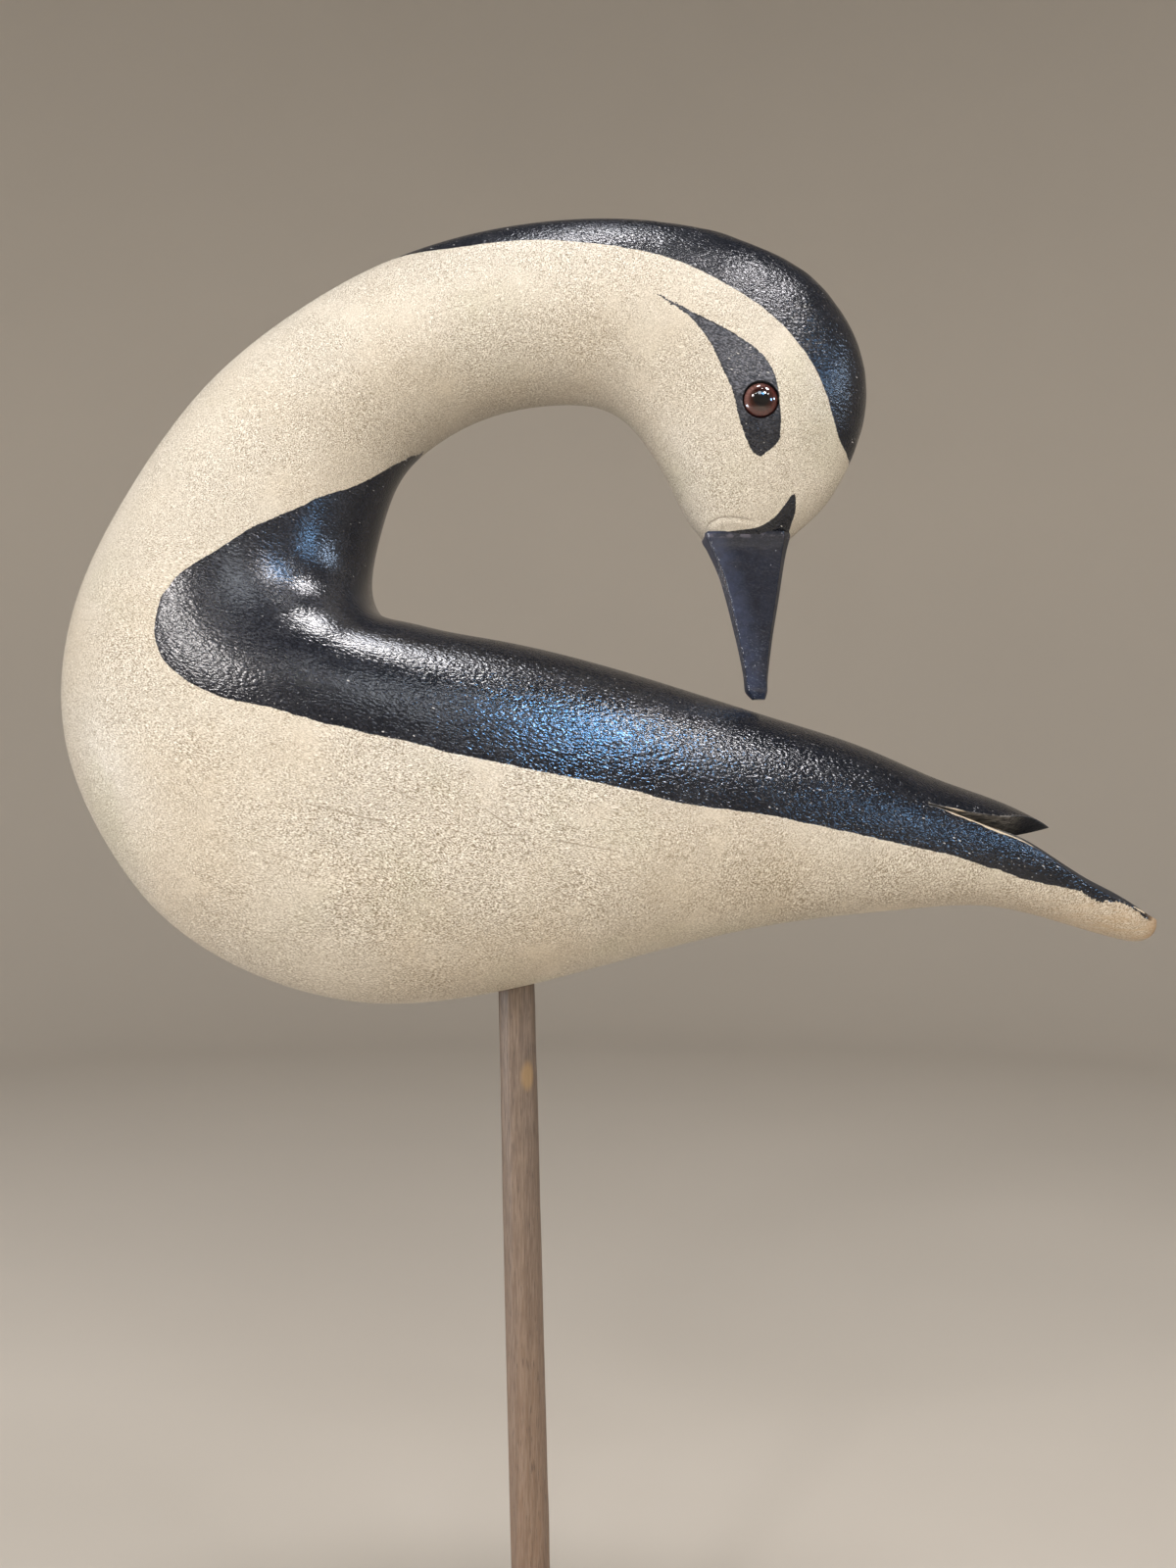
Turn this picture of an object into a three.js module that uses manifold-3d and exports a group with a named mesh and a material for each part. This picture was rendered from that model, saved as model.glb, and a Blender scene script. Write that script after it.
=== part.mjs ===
// A carved wooden shorebird decoy, preening, on a stick in a low round base.
// Millimetres, +Z up. The origin is the centre of the base's underside, the bird's
// breast points along -X, its tail along +X, and the bird is alike on both sides of y = 0.

import * as THREE from "three";
import { mergeVertices } from "three/addons/utils/BufferGeometryUtils.js";
import Module from "manifold-3d";

const wasm = await Module();
wasm.setup();

// Driving dimensions

// Clearance between one piece and the piece that holds it.
const FIT_GAP = 0.3;

// Points nearer than this are one point.
const WELD_DISTANCE = 1e-4;

// A low turned disk with a rounded upper edge.
const BASE_RADIUS = 78;
const BASE_HEIGHT = 28;
const BASE_EDGE_RADIUS = 6;
const BASE_FOOT_CHAMFER = 1.5;
const BASE_SIDES = 64;

// A shaved stick, thicker at its foot, that leans a little towards the breast.
const STICK_FOOT_X = 0.4;
const STICK_FOOT_RADIUS = 6.6;
const STICK_TOP_RADIUS = 6.1;
const STICK_LEAN_DEG = 1.42;
const STICK_DEPTH_IN_BASE = 20;
const STICK_TOP_Z = 288;
const STICK_SIDES = 28;

// A half-inch class glass eye on each side of the head.
const EYE_X = 71.8;
const EYE_Z = 453.8;
const EYE_RIM_Y = 22.4;
const EYE_RADIUS = 5.5;
const EYE_BULGE = 2.4;
const EYE_SEAT_DEPTH = 2.8;
const EYE_WALL_TOP = -0.6;
const EYE_SIDES = 24;

// Straight pieces in a quarter round.
const QUARTER_STEPS = 5;

// The carved bird is a closed skin swept from the tail's tip, along the back, round the
// breast, up the neck and over to the root of the bill. Each row is one section:
// upper or inner edge x, z; lower or outer edge x, z; half width; how square the inner
// half is (2 is an ellipse); where the section is widest, as a share of its height
// from the inner edge.
const SECTIONS = [
  // tail
  [202.6, 287.7, 202.6, 287.7, 0.0, 2.1, 0.5],
  [202.0, 291.9, 201.3, 285.0, 5.3, 2.2, 0.5],
  [199.0, 297.6, 197.9, 282.8, 8.3, 2.2, 0.5],
  [191.4, 304.2, 189.4, 283.7, 11.5, 2.2, 0.5],
  [179.5, 312.5, 176.4, 287.4, 14.5, 2.2, 0.5],
  // folded wing tips and rump
  [152.2, 328.0, 145.9, 294.3, 21.5, 2.2, 0.5],
  [133.0, 334.9, 126.1, 293.6, 25.5, 2.2, 0.5],
  [107.5, 345.7, 100.5, 291.2, 31.0, 2.3, 0.5],
  [81.8, 354.1, 74.0, 287.6, 36.5, 2.45, 0.5],
  // back and belly
  [30.7, 369.9, 18.9, 274.0, 44.5, 2.7, 0.5],
  [-11.0, 380.1, -33.3, 263.3, 47.8, 2.9, 0.5],
  [-27.1, 382.9, -57.2, 263.4, 48.4, 3.0, 0.5],
  [-38.3, 385.5, -80.9, 269.0, 48.5, 3.0, 0.5],
  // shoulders and breast, fanned round the tight corner where the neck leaves the back
  [-45.8, 387.1, -102.4, 278.8, 48.3, 3.0, 0.5],
  [-49.2, 388.7, -120.2, 292.2, 47.6, 2.9, 0.5],
  [-51.1, 390.7, -134.1, 309.9, 46.5, 2.75, 0.51],
  [-52.9, 396.4, -149.7, 346.3, 43.0, 2.3, 0.56],
  // neck
  [-52.2, 405.5, -148.7, 384.8, 37.5, 2.0, 0.6],
  [-48.4, 421.0, -132.8, 423.5, 32.0, 2.0, 0.57],
  [-39.9, 438.1, -103.8, 464.1, 28.5, 2.0, 0.52],
  [-29.8, 446.5, -80.9, 483.3, 27.5, 2.0, 0.5],
  [-18.0, 452.8, -54.9, 499.0, 26.8, 2.0, 0.5],
  [6.7, 458.1, 2.1, 515.4, 26.0, 2.0, 0.5],
  // head, down to the flat that the bill is set on
  [27.7, 454.2, 57.3, 513.0, 25.5, 2.0, 0.5],
  [39.7, 440.2, 95.4, 493.4, 24.3, 2.0, 0.5],
  [46.6, 427.5, 108.5, 462.6, 22.0, 2.0, 0.5],
  [51.7, 418.5, 102.5, 436.8, 16.8, 2.2, 0.5],
  [54.0, 415.6, 94.7, 424.1, 13.6, 2.6, 0.5],
  [55.4, 413.9, 83.2, 413.3, 10.5, 3.2, 0.5],
];
const BODY_LOWER_SQUARENESS = 2.2;
const BODY_SIDES = 36;
const BODY_RINGS = 84;
// Rings are closer towards the tail's tip by this power.
const BODY_RING_CROWDING = 1.12;

// The tail's upper face, from the slit's inner end outwards: run along X, height on the
// middle line, how far the face has dropped at its edge, half width.
const SLIT_X = 125.5;
const TAIL_FACE = [
  [0.0, 327.3, 0.2, 26.0],
  [10.7, 323.6, 0.4, 23.5],
  [19.6, 320.6, 0.9, 21.5],
  [29.4, 317.4, 1.6, 19.5],
  [41.8, 310.3, 2.1, 17.0],
  [53.8, 303.0, 2.3, 14.2],
  [62.3, 298.7, 1.9, 12.0],
  [68.6, 294.9, 1.0, 10.2],
  [74.5, 291.0, 0.3, 8.0],
  [90.0, 281.5, 0.2, 8.0],
];
// The drop starts at this share of the half width.
const TAIL_ROUND_FROM = 0.45;
// Shares of the half width that the face is drawn at; the outermost lie off the wood.
const TAIL_SHARES = [-4, -1, -0.85, -0.65, -0.45, 0, 0.45, 0.65, 0.85, 1, 4];

// The folded wing tips end in one point above the tail, with a keeled underside.
const TIP_X = 168.3;
const TIP_HALF_WIDTH = 24;
const TIP_TAPER = 2;
const KEEL_Z = 315.3;
const KEEL_RISE = 4.3;
// Slope of the keel's sides, by share of the slit's length.
const KEEL_SLOPES = [
  [0.0, 0.55],
  [0.4, 0.48],
  [0.58, 0.47],
  [0.66, 0.55],
  [0.82, 0.7],
  [1.0, 0.8],
];

// Shapes that are cut away run past the wood by these lengths.
const SLIT_LEAD = 1.5;
const TONGUE_LEAD = 8;
const CUT_END_X = 215;
const CUT_TOP_Z = 380;
const TONGUE_TOP_Z = 390;
const EYE_SEAT_REACH = 6;

// The bill: left edge x, right edge x, z, half thickness, width of the left and of the
// right bevel.
const BILL_SECTIONS = [
  [56.0, 82.9, 413.0, 9.7, 0.5, 2.0],
  [57.4, 82.3, 410.2, 8.6, 0.5, 1.8],
  [59.4, 81.5, 406.0, 7.9, 0.5, 1.6],
  [63.1, 79.9, 395.0, 6.8, 0.4, 1.4],
  [65.9, 78.1, 383.5, 5.6, 0.4, 1.2],
  [68.2, 76.8, 372.8, 4.6, 0.4, 1.0],
  [69.1, 76.3, 366.0, 4.0, 0.5, 0.8],
  [69.6, 76.2, 363.6, 3.6, 0.6, 0.8],
  [71.6, 75.6, 361.4, 2.4, 0.6, 0.6],
];
const BILL_BEVEL_DEPTH = 0.36;

// Curves and solids

// Second derivatives of the natural cubic through values at the given knots.
function splineBends(knots, values) {
  const last = knots.length - 1;
  const bends = new Array(last + 1).fill(0);
  const carry = new Array(last + 1).fill(0);
  for (let i = 1; i < last; i++) {
    const before = knots[i] - knots[i - 1];
    const after = knots[i + 1] - knots[i];
    const share = before / (before + after);
    const pivot = share * bends[i - 1] + 2;
    const slopes = (values[i + 1] - values[i]) / after - (values[i] - values[i - 1]) / before;
    bends[i] = (share - 1) / pivot;
    carry[i] = ((6 * slopes) / (before + after) - share * carry[i - 1]) / pivot;
  }
  for (let i = last - 1; i > 0; i--) bends[i] = bends[i] * bends[i + 1] + carry[i];
  bends[0] = 0;
  return bends;
}

// The natural cubic through values at knots, as a function of distance along them.
function spline(knots, values) {
  const bends = splineBends(knots, values);
  return (at) => {
    let i = 0;
    while (i < knots.length - 2 && at > knots[i + 1]) i++;
    const span = knots[i + 1] - knots[i];
    const a = (knots[i + 1] - at) / span;
    const b = 1 - a;
    const bow = ((a ** 3 - a) * bends[i] + (b ** 3 - b) * bends[i + 1]) * (span ** 2 / 6);
    return a * values[i] + b * values[i + 1] + bow;
  };
}

// Distance along the sweep of each row, as the mean of its two edges' travel.
function travelOf(rows) {
  const knots = [0];
  for (let i = 1; i < rows.length; i++) {
    const [ax, az, bx, bz] = rows[i - 1];
    const [cx, cz, dx, dz] = rows[i];
    knots.push(knots[i - 1] + (Math.hypot(cx - ax, cz - az) + Math.hypot(dx - bx, dz - bz)) / 2);
  }
  return knots;
}

function signedPower(value, power) {
  return Math.sign(value) * Math.abs(value) ** power;
}

// One superellipse ring between an inner and an outer edge, widest at a share between them.
function sectionRing([innerX, innerZ, outerX, outerZ, halfWidth, squareness, widest]) {
  const ring = [];
  for (let i = 0; i < BODY_SIDES; i++) {
    const angle = (2 * Math.PI * i) / BODY_SIDES;
    const inward = (1 + Math.cos(angle)) / 2;
    const blend = inward * inward * (3 - 2 * inward);
    const power = 2 / (BODY_LOWER_SQUARENESS + (squareness - BODY_LOWER_SQUARENESS) * blend);
    const along = signedPower(Math.cos(angle), power);
    const across = signedPower(Math.sin(angle), power);
    const share = widest - along * (along > 0 ? widest : 1 - widest);
    const x = innerX + (outerX - innerX) * share;
    const z = innerZ + (outerZ - innerZ) * share;
    ring.push([x, halfWidth * across, z]);
  }
  return ring;
}

// A closed solid from a geometry, with its seams joined and needless triangles left out.
function solidOf(geometry) {
  const merged = mergeVertices(geometry, WELD_DISTANCE);
  const index = merged.index.array;
  const kept = [];
  for (let i = 0; i < index.length; i += 3) {
    const [a, b, c] = [index[i], index[i + 1], index[i + 2]];
    if (a !== b && b !== c && c !== a) kept.push(a, b, c);
  }
  const vertProperties = merged.attributes.position.array;
  const triVerts = new Uint32Array(kept);
  return new wasm.Manifold(new wasm.Mesh({ numProp: 3, vertProperties, triVerts }));
}

// A closed solid from points and triangles.
function solidFromFaces(points, triangles) {
  const geometry = new THREE.BufferGeometry();
  geometry.setAttribute("position", new THREE.Float32BufferAttribute(points.flat(), 3));
  geometry.setIndex(triangles.flat());
  return solidOf(geometry);
}

// Rings of equal length joined one to the next, with a fan over each end.
function loft(rings) {
  const sides = rings[0].length;
  const points = rings.flat();
  const triangles = [];
  for (let r = 0; r < rings.length - 1; r++) {
    for (let i = 0; i < sides; i++) {
      const next = (i + 1) % sides;
      const [a, b] = [r * sides + i, r * sides + next];
      const [c, d] = [a + sides, b + sides];
      triangles.push([a, b, d], [a, d, c]);
    }
  }
  const lastRing = (rings.length - 1) * sides;
  for (let i = 1; i < sides - 1; i++) {
    triangles.push([0, i + 1, i], [lastRing, lastRing + i, lastRing + i + 1]);
  }
  return solidFromFaces(points, triangles);
}

// The space above an under face given by place(u, v), up to a flat top.
function spaceAbove(place, top, stepsU, stepsV) {
  const points = [];
  for (let i = 0; i <= stepsU; i++) {
    for (let j = 0; j <= stepsV; j++) points.push(place(i / stepsU, j / stepsV));
  }
  const layer = points.length;
  for (let i = 0; i < layer; i++) points.push([points[i][0], points[i][1], top]);
  const at = (i, j) => i * (stepsV + 1) + j;
  const triangles = [];
  for (let i = 0; i < stepsU; i++) {
    for (let j = 0; j < stepsV; j++) {
      const [a, b, c, d] = [at(i, j), at(i + 1, j), at(i + 1, j + 1), at(i, j + 1)];
      triangles.push([a, c, b], [a, d, c]);
      triangles.push([a + layer, b + layer, c + layer], [a + layer, c + layer, d + layer]);
    }
  }
  const wall = (a, b) => triangles.push([a, b, b + layer], [a, b + layer, a + layer]);
  for (let i = 0; i < stepsU; i++) {
    wall(at(i, 0), at(i + 1, 0));
    wall(at(i + 1, stepsV), at(i, stepsV));
  }
  for (let j = 0; j < stepsV; j++) {
    wall(at(stepsU, j), at(stepsU, j + 1));
    wall(at(0, j + 1), at(0, j));
  }
  return solidFromFaces(points, triangles);
}

// A turned solid from a profile of [radius, height] points that starts and ends on its axis.
function turned(profile, sides, matrix) {
  const points = profile.map(([radius, height]) => new THREE.Vector2(radius, height));
  const geometry = new THREE.LatheGeometry(points, sides).applyMatrix4(matrix);
  geometry.deleteAttribute("normal");
  geometry.deleteAttribute("uv");
  return solidOf(geometry);
}

// A quarter round of [radius, height] points that ends on top, its corner at the outer rim.
function quarterRound(rim, top, across, up) {
  const points = [];
  for (let i = 0; i <= QUARTER_STEPS; i++) {
    const angle = (Math.PI / 2) * (i / QUARTER_STEPS);
    points.push([rim - across * (1 - Math.cos(angle)), top - up * (1 - Math.sin(angle))]);
  }
  return points;
}

function geometryOf(solid) {
  const { vertProperties, triVerts, numProp } = solid.getMesh();
  const positions = new Float32Array((vertProperties.length / numProp) * 3);
  for (let i = 0; i < positions.length / 3; i++) {
    positions.set(vertProperties.subarray(i * numProp, i * numProp + 3), i * 3);
  }
  const geometry = new THREE.BufferGeometry();
  geometry.setAttribute("position", new THREE.BufferAttribute(positions, 3));
  geometry.setIndex(new THREE.BufferAttribute(new Uint32Array(triVerts), 1));
  geometry.computeVertexNormals();
  return geometry;
}

// Stick

// Stands the stick's own axis on its foot and leans it towards the breast.
function stickPlace() {
  const lean = THREE.MathUtils.degToRad(-STICK_LEAN_DEG);
  const turn = new THREE.Matrix4().makeRotationAxis(new THREE.Vector3(0, 1, 0), lean);
  const move = new THREE.Matrix4().makeTranslation(STICK_FOOT_X, 0, BASE_HEIGHT);
  const upright = new THREE.Matrix4().makeRotationX(Math.PI / 2);
  return move.multiply(turn).multiply(upright);
}

// The stick or the hole for it, grown all round by a clearance.
function stickSolid(clearance) {
  const low = -STICK_DEPTH_IN_BASE + FIT_GAP - clearance;
  const high = STICK_TOP_Z - BASE_HEIGHT + clearance;
  const profile = [
    [0, low],
    [STICK_FOOT_RADIUS + clearance, low],
    [STICK_TOP_RADIUS + clearance, high],
    [0, high],
  ];
  return turned(profile, STICK_SIDES, stickPlace());
}

// Carved bird

function bodySkin() {
  const knots = travelOf(SECTIONS);
  const length = knots[knots.length - 1];
  const tracks = SECTIONS[0].map((_, column) => spline(knots, SECTIONS.map((row) => row[column])));
  const rings = [];
  for (let i = 0; i <= BODY_RINGS; i++) {
    const at = length * (i / BODY_RINGS) ** BODY_RING_CROWDING;
    rings.push(sectionRing(tracks.map((track) => track(at))));
  }
  return loft(rings);
}

// Everything above the tail's upper face, from the slit's inner end past the tail's tip.
function aboveTail() {
  const runs = TAIL_FACE.map((row) => row[0]);
  const tracks = [1, 2, 3].map((column) => spline(runs, TAIL_FACE.map((row) => row[column])));
  const nearX = SLIT_X - SLIT_LEAD;
  const columns = TAIL_SHARES.length - 1;
  const place = (u, v) => {
    const x = nearX + (CUT_END_X - nearX) * u;
    const [middle, drop, halfWidth] = tracks.map((track) => track(Math.max(0, x - SLIT_X)));
    const share = TAIL_SHARES[Math.round(v * columns)];
    const outward = (Math.abs(share) - TAIL_ROUND_FROM) / (1 - TAIL_ROUND_FROM);
    const rounding = THREE.MathUtils.clamp(outward, 0, 1);
    return [x, share * halfWidth, middle - drop * rounding ** 2];
  };
  return spaceAbove(place, CUT_TOP_Z, 18, columns);
}

function keelSlope(along) {
  let i = 1;
  while (i < KEEL_SLOPES.length - 1 && along > KEEL_SLOPES[i][0]) i++;
  const [[startAt, start], [endAt, end]] = [KEEL_SLOPES[i - 1], KEEL_SLOPES[i]];
  return THREE.MathUtils.mapLinear(along, startAt, endAt, start, end);
}

// The pointed tongue of the wing tips, from its keeled underside upwards.
function wingTips() {
  const length = TIP_X - SLIT_X;
  const place = (u, v) => {
    const run = (length + TONGUE_LEAD) * u - TONGUE_LEAD;
    const along = Math.max(0, run / length);
    const y = TIP_HALF_WIDTH * (1 - along ** TIP_TAPER) * (2 * v - 1);
    const rise = KEEL_RISE * along ** 3 + keelSlope(along) * Math.abs(y);
    return [SLIT_X + run, y, KEEL_Z + rise];
  };
  return spaceAbove(place, TONGUE_TOP_Z, 16, 8);
}

// Turns a profile's axis from +Y to the side that the eye looks to, at the eye's rim.
function eyePlace(side) {
  const turn = new THREE.Matrix4().makeRotationZ(side > 0 ? 0 : Math.PI);
  const move = new THREE.Matrix4().makeTranslation(EYE_X, side * EYE_RIM_Y, EYE_Z);
  return move.multiply(turn);
}

function eyeSeat(side) {
  const profile = [
    [0, -EYE_SEAT_DEPTH],
    [EYE_RADIUS + FIT_GAP, -EYE_SEAT_DEPTH],
    [EYE_RADIUS + FIT_GAP, EYE_SEAT_REACH],
    [0, EYE_SEAT_REACH],
  ];
  return turned(profile, EYE_SIDES, eyePlace(side));
}

function carvedBird() {
  const slit = aboveTail().subtract(wingTips());
  let bird = bodySkin().subtract(slit).subtract(stickSolid(FIT_GAP));
  for (const side of [-1, 1]) bird = bird.subtract(eyeSeat(side));
  return bird;
}

// Glass eyes

function glassEye(side) {
  const profile = [
    [0, -EYE_SEAT_DEPTH + FIT_GAP],
    [EYE_RADIUS, -EYE_SEAT_DEPTH + FIT_GAP],
    ...quarterRound(EYE_RADIUS, EYE_BULGE, EYE_RADIUS, EYE_BULGE - EYE_WALL_TOP),
  ];
  return turned(profile, EYE_SIDES, eyePlace(side));
}

// Bill

// A flat-faced bill section: bevels on both edges, the right one wider.
function billRing([left, right, z, thickness, leftBevel, rightBevel]) {
  const shoulder = thickness * (1 - BILL_BEVEL_DEPTH);
  const quarter = [
    [left, shoulder],
    [left + leftBevel, thickness],
    [right - rightBevel, thickness],
    [right, shoulder],
  ];
  const near = quarter.map(([x, y]) => [x, -y, z]);
  const far = quarter.map(([x, y]) => [x, y, z]).reverse();
  return [...near, ...far].reverse();
}

function bill() {
  return loft(BILL_SECTIONS.map(billRing));
}

// Base

function base() {
  const profile = [
    [0, 0],
    [BASE_RADIUS - BASE_FOOT_CHAMFER, 0],
    [BASE_RADIUS, BASE_FOOT_CHAMFER],
    ...quarterRound(BASE_RADIUS, BASE_HEIGHT, BASE_EDGE_RADIUS, BASE_EDGE_RADIUS),
    [0, BASE_HEIGHT],
  ];
  const upright = new THREE.Matrix4().makeRotationX(Math.PI / 2);
  return turned(profile, BASE_SIDES, upright).subtract(stickSolid(FIT_GAP));
}

// Assembly

const CREAM_PAINT = { color: 0xe6dcc6, roughness: 0.55, metalness: 0 };
const BLACK_PAINT = { color: 0x2b2c31, roughness: 0.35, metalness: 0 };
const AMBER_GLASS = { color: 0x3a1712, roughness: 0.05, metalness: 0 };
const GREY_WOOD = { color: 0x6f5a4e, roughness: 0.7, metalness: 0 };
const BROWN_WOOD = { color: 0x5a3a26, roughness: 0.5, metalness: 0 };

function piece(name, solid, finish) {
  const mesh = new THREE.Mesh(geometryOf(solid), new THREE.MeshStandardMaterial(finish));
  mesh.name = name;
  return mesh;
}

const decoy = new THREE.Group();
decoy.add(piece("carved_bird", carvedBird(), CREAM_PAINT));
decoy.add(piece("bill", bill(), BLACK_PAINT));
decoy.add(piece("glass_eye_near", glassEye(-1), AMBER_GLASS));
decoy.add(piece("glass_eye_far", glassEye(1), AMBER_GLASS));
decoy.add(piece("stick", stickSolid(0), GREY_WOOD));
decoy.add(piece("base", base(), BROWN_WOOD));

export default decoy;
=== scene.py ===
"""A carved and painted shorebird decoy, preening, on a stick in a low round base.

Everything is in metres, +Z up, with the breast along -X, the tail along +X and the origin at
the centre of the base's underside. Tables of sizes are in millimetres and are turned into
metres when their mesh is made.
"""

import logging
import math
from dataclasses import dataclass, field
from enum import Enum
from typing import Callable, Sequence, Union

import bpy
import numpy as np
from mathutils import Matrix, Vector
from numpy.typing import NDArray

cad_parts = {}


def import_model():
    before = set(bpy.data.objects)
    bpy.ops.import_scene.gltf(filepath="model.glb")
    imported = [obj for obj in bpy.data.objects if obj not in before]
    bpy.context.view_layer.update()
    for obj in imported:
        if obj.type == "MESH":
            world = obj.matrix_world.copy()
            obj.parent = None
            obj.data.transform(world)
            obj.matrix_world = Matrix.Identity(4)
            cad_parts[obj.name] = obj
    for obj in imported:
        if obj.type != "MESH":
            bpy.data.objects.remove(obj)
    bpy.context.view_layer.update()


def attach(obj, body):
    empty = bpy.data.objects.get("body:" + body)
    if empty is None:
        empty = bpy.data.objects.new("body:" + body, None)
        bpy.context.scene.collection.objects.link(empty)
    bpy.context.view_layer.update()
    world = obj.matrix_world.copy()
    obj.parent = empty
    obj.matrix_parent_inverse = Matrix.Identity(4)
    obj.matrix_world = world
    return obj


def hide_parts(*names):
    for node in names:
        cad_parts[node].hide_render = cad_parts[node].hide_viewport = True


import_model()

log = logging.getLogger("decoy")

FloatArray = NDArray[np.float64]
Faces = NDArray[np.int64]
Piece = bpy.types.Object
Colour = tuple[float, float, float]
Socket = bpy.types.NodeSocket
Input = Union["Wire", float, Sequence[float]]

MM = 0.001
TINY = 1e-9
BODY = "root"
UP = Vector((0, 0, 1))
ORIGIN = Vector((0, 0, 0))


# Curves and outlines


def natural_cubic(knots: FloatArray, values: FloatArray, at: FloatArray) -> FloatArray:
    """Reads the natural cubic spline through values at knots.

    Inside a span the value is the straight blend of its ends plus a bow, (a^3 - a) times the
    bend at its start and (b^3 - b) times the bend at its end, times span squared over 6.

    Args:
        knots: Rising distances, one for each row of values.
        values: One row for each knot.
        at: Distances at which to read the spline.

    Returns:
        One row for each distance.
    """
    span = np.diff(knots)
    count = len(knots)
    system = np.eye(count)
    pull = np.zeros_like(values)
    middle = np.arange(1, count - 1)
    system[middle, middle - 1] = span[:-1]
    system[middle, middle] = 2 * (span[:-1] + span[1:])
    system[middle, middle + 1] = span[1:]
    slope = np.diff(values, axis=0) / span[:, None]
    pull[middle] = 6 * np.diff(slope, axis=0)
    bend = np.linalg.solve(system, pull)
    i = np.clip(np.searchsorted(knots, at, side="right") - 1, 0, count - 2)
    width = span[i, None]
    a = (knots[i + 1] - at)[:, None] / width
    b = 1 - a
    bow = ((a**3 - a) * bend[i] + (b**3 - b) * bend[i + 1]) * width**2 / 6
    return a * values[i] + b * values[i + 1] + bow


def through(points: Sequence[Sequence[float]], steps: int) -> FloatArray:
    """Rounds a drawn line of points with a Catmull-Rom curve through them.

    Args:
        points: Control points.
        steps: Short straight pieces between one control point and the next.

    Returns:
        The points of the smooth line.
    """
    p = np.asarray(points, float)
    padded = np.concatenate([2 * p[:1] - p[1:2], p, 2 * p[-1:] - p[-2:-1]])
    spans = (padded[:-3], padded[1:-2], padded[2:-1], padded[3:])
    before, start, end, after = (x[:, None, :] for x in spans)
    u = (np.arange(steps) / steps)[None, :, None]
    curve = start + 0.5 * u * (
        end - before
        + u * (2 * before - 5 * start + 4 * end - after + u * (3 * (start - end) + after - before))
    )
    return np.concatenate([curve.reshape(-1, p.shape[1]), p[-1:]])


def gap_to_line(points: FloatArray, line: FloatArray) -> FloatArray:
    """Distance from each point to the nearest place on an open line, in the plane.

    Args:
        points: Places in the plane.
        line: Points of the line.

    Returns:
        One distance for each place.
    """
    nearest = np.full(len(points), np.inf)
    for start, step in zip(line[:-1], np.diff(line, axis=0)):
        size = max((step**2).sum(), 1e-12)
        reach = np.clip(((points - start) @ step) / size, 0, 1)
        nearest = np.minimum(nearest, ((points - start - reach[:, None] * step) ** 2).sum(1))
    return np.sqrt(nearest)


def is_inside(points: FloatArray, outline: FloatArray) -> NDArray[np.bool_]:
    """Tells which places a closed outline holds: a ray from them crosses it an odd number of times.

    Args:
        points: Places in the plane.
        outline: Corners of the outline.

    Returns:
        One answer for each place.
    """
    inside = np.zeros(len(points), bool)
    for (ax, az), (bx, bz) in zip(outline, np.roll(outline, -1, axis=0)):
        if az != bz:
            spans = (az > points[:, 1]) != (bz > points[:, 1])
            cross = ax + (points[:, 1] - az) * (bx - ax) / (bz - az)
            inside ^= spans & (points[:, 0] < cross)
    return inside


def depth_in(
    points: FloatArray, drawn: Sequence[Sequence[float]], closing: Sequence[Sequence[float]]
) -> FloatArray:
    """How far each place lies inside a painted area, negative outside, measured to its drawn edge alone.

    Args:
        points: Places in the plane.
        drawn: Points of the painted edge.
        closing: Points off the wood that close the area.

    Returns:
        One signed distance for each place.
    """
    edge = through(drawn, 4)
    outline = np.concatenate([edge, np.asarray(closing, float).reshape(-1, 2)])
    gap = gap_to_line(points, edge)
    return np.where(is_inside(points, outline), gap, -gap)


def hand_ripple(at: FloatArray, depth: float, wave: float, seed: int) -> FloatArray:
    """Soft unevenness that a knife and sandpaper leave: a sum of sine waves in seeded directions.

    Args:
        at: Places, as rows of x, y, z in millimetres.
        depth: About the greatest height of the ripple.
        wave: Typical length of a wave.
        seed: Makes the same ripple each time.

    Returns:
        One height for each place.
    """
    waves = 24
    rng = np.random.default_rng(seed)
    way = rng.normal(size=(waves, 3))
    scale = (2 * np.pi / wave) * rng.uniform(0.6, 1.5, (waves, 1))
    way *= scale / np.linalg.norm(way, axis=1)[:, None]
    phase = rng.uniform(0, 2 * np.pi, waves)
    return depth * np.sin(at @ way.T + phase).sum(-1) / math.sqrt(waves)


def smoothstep(value: FloatArray, low: float, high: float) -> FloatArray:
    """0 below low, 1 above high, and 3 s^2 - 2 s^3 between them."""
    s = np.clip((value - low) / (high - low), 0, 1)
    return s * s * (3 - 2 * s)


# Meshes


def add_piece(name: str, verts: FloatArray, quads: Faces, tris: Faces) -> Piece:
    """Makes an object at the origin from whole arrays.

    Args:
        name: The piece's name.
        verts: Vertex places in metres.
        quads: Four vertex numbers a face.
        tris: Three vertex numbers a face.

    Returns:
        The new object, in the scene.
    """
    mesh = bpy.data.meshes.new(name)
    corners = np.concatenate([quads.ravel(), tris.ravel()])
    totals = np.concatenate([np.full(len(quads), 4), np.full(len(tris), 3)])
    mesh.vertices.add(len(verts))
    mesh.vertices.foreach_set("co", verts.astype(np.float32).ravel())
    mesh.loops.add(len(corners))
    mesh.loops.foreach_set("vertex_index", corners.astype(np.int32))
    mesh.polygons.add(len(totals))
    mesh.polygons.foreach_set("loop_start", (np.cumsum(totals) - totals).astype(np.int32))
    mesh.update(calc_edges=True)
    mesh.validate()
    piece = bpy.data.objects.new(name, mesh)
    bpy.context.scene.collection.objects.link(piece)
    return piece


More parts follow.
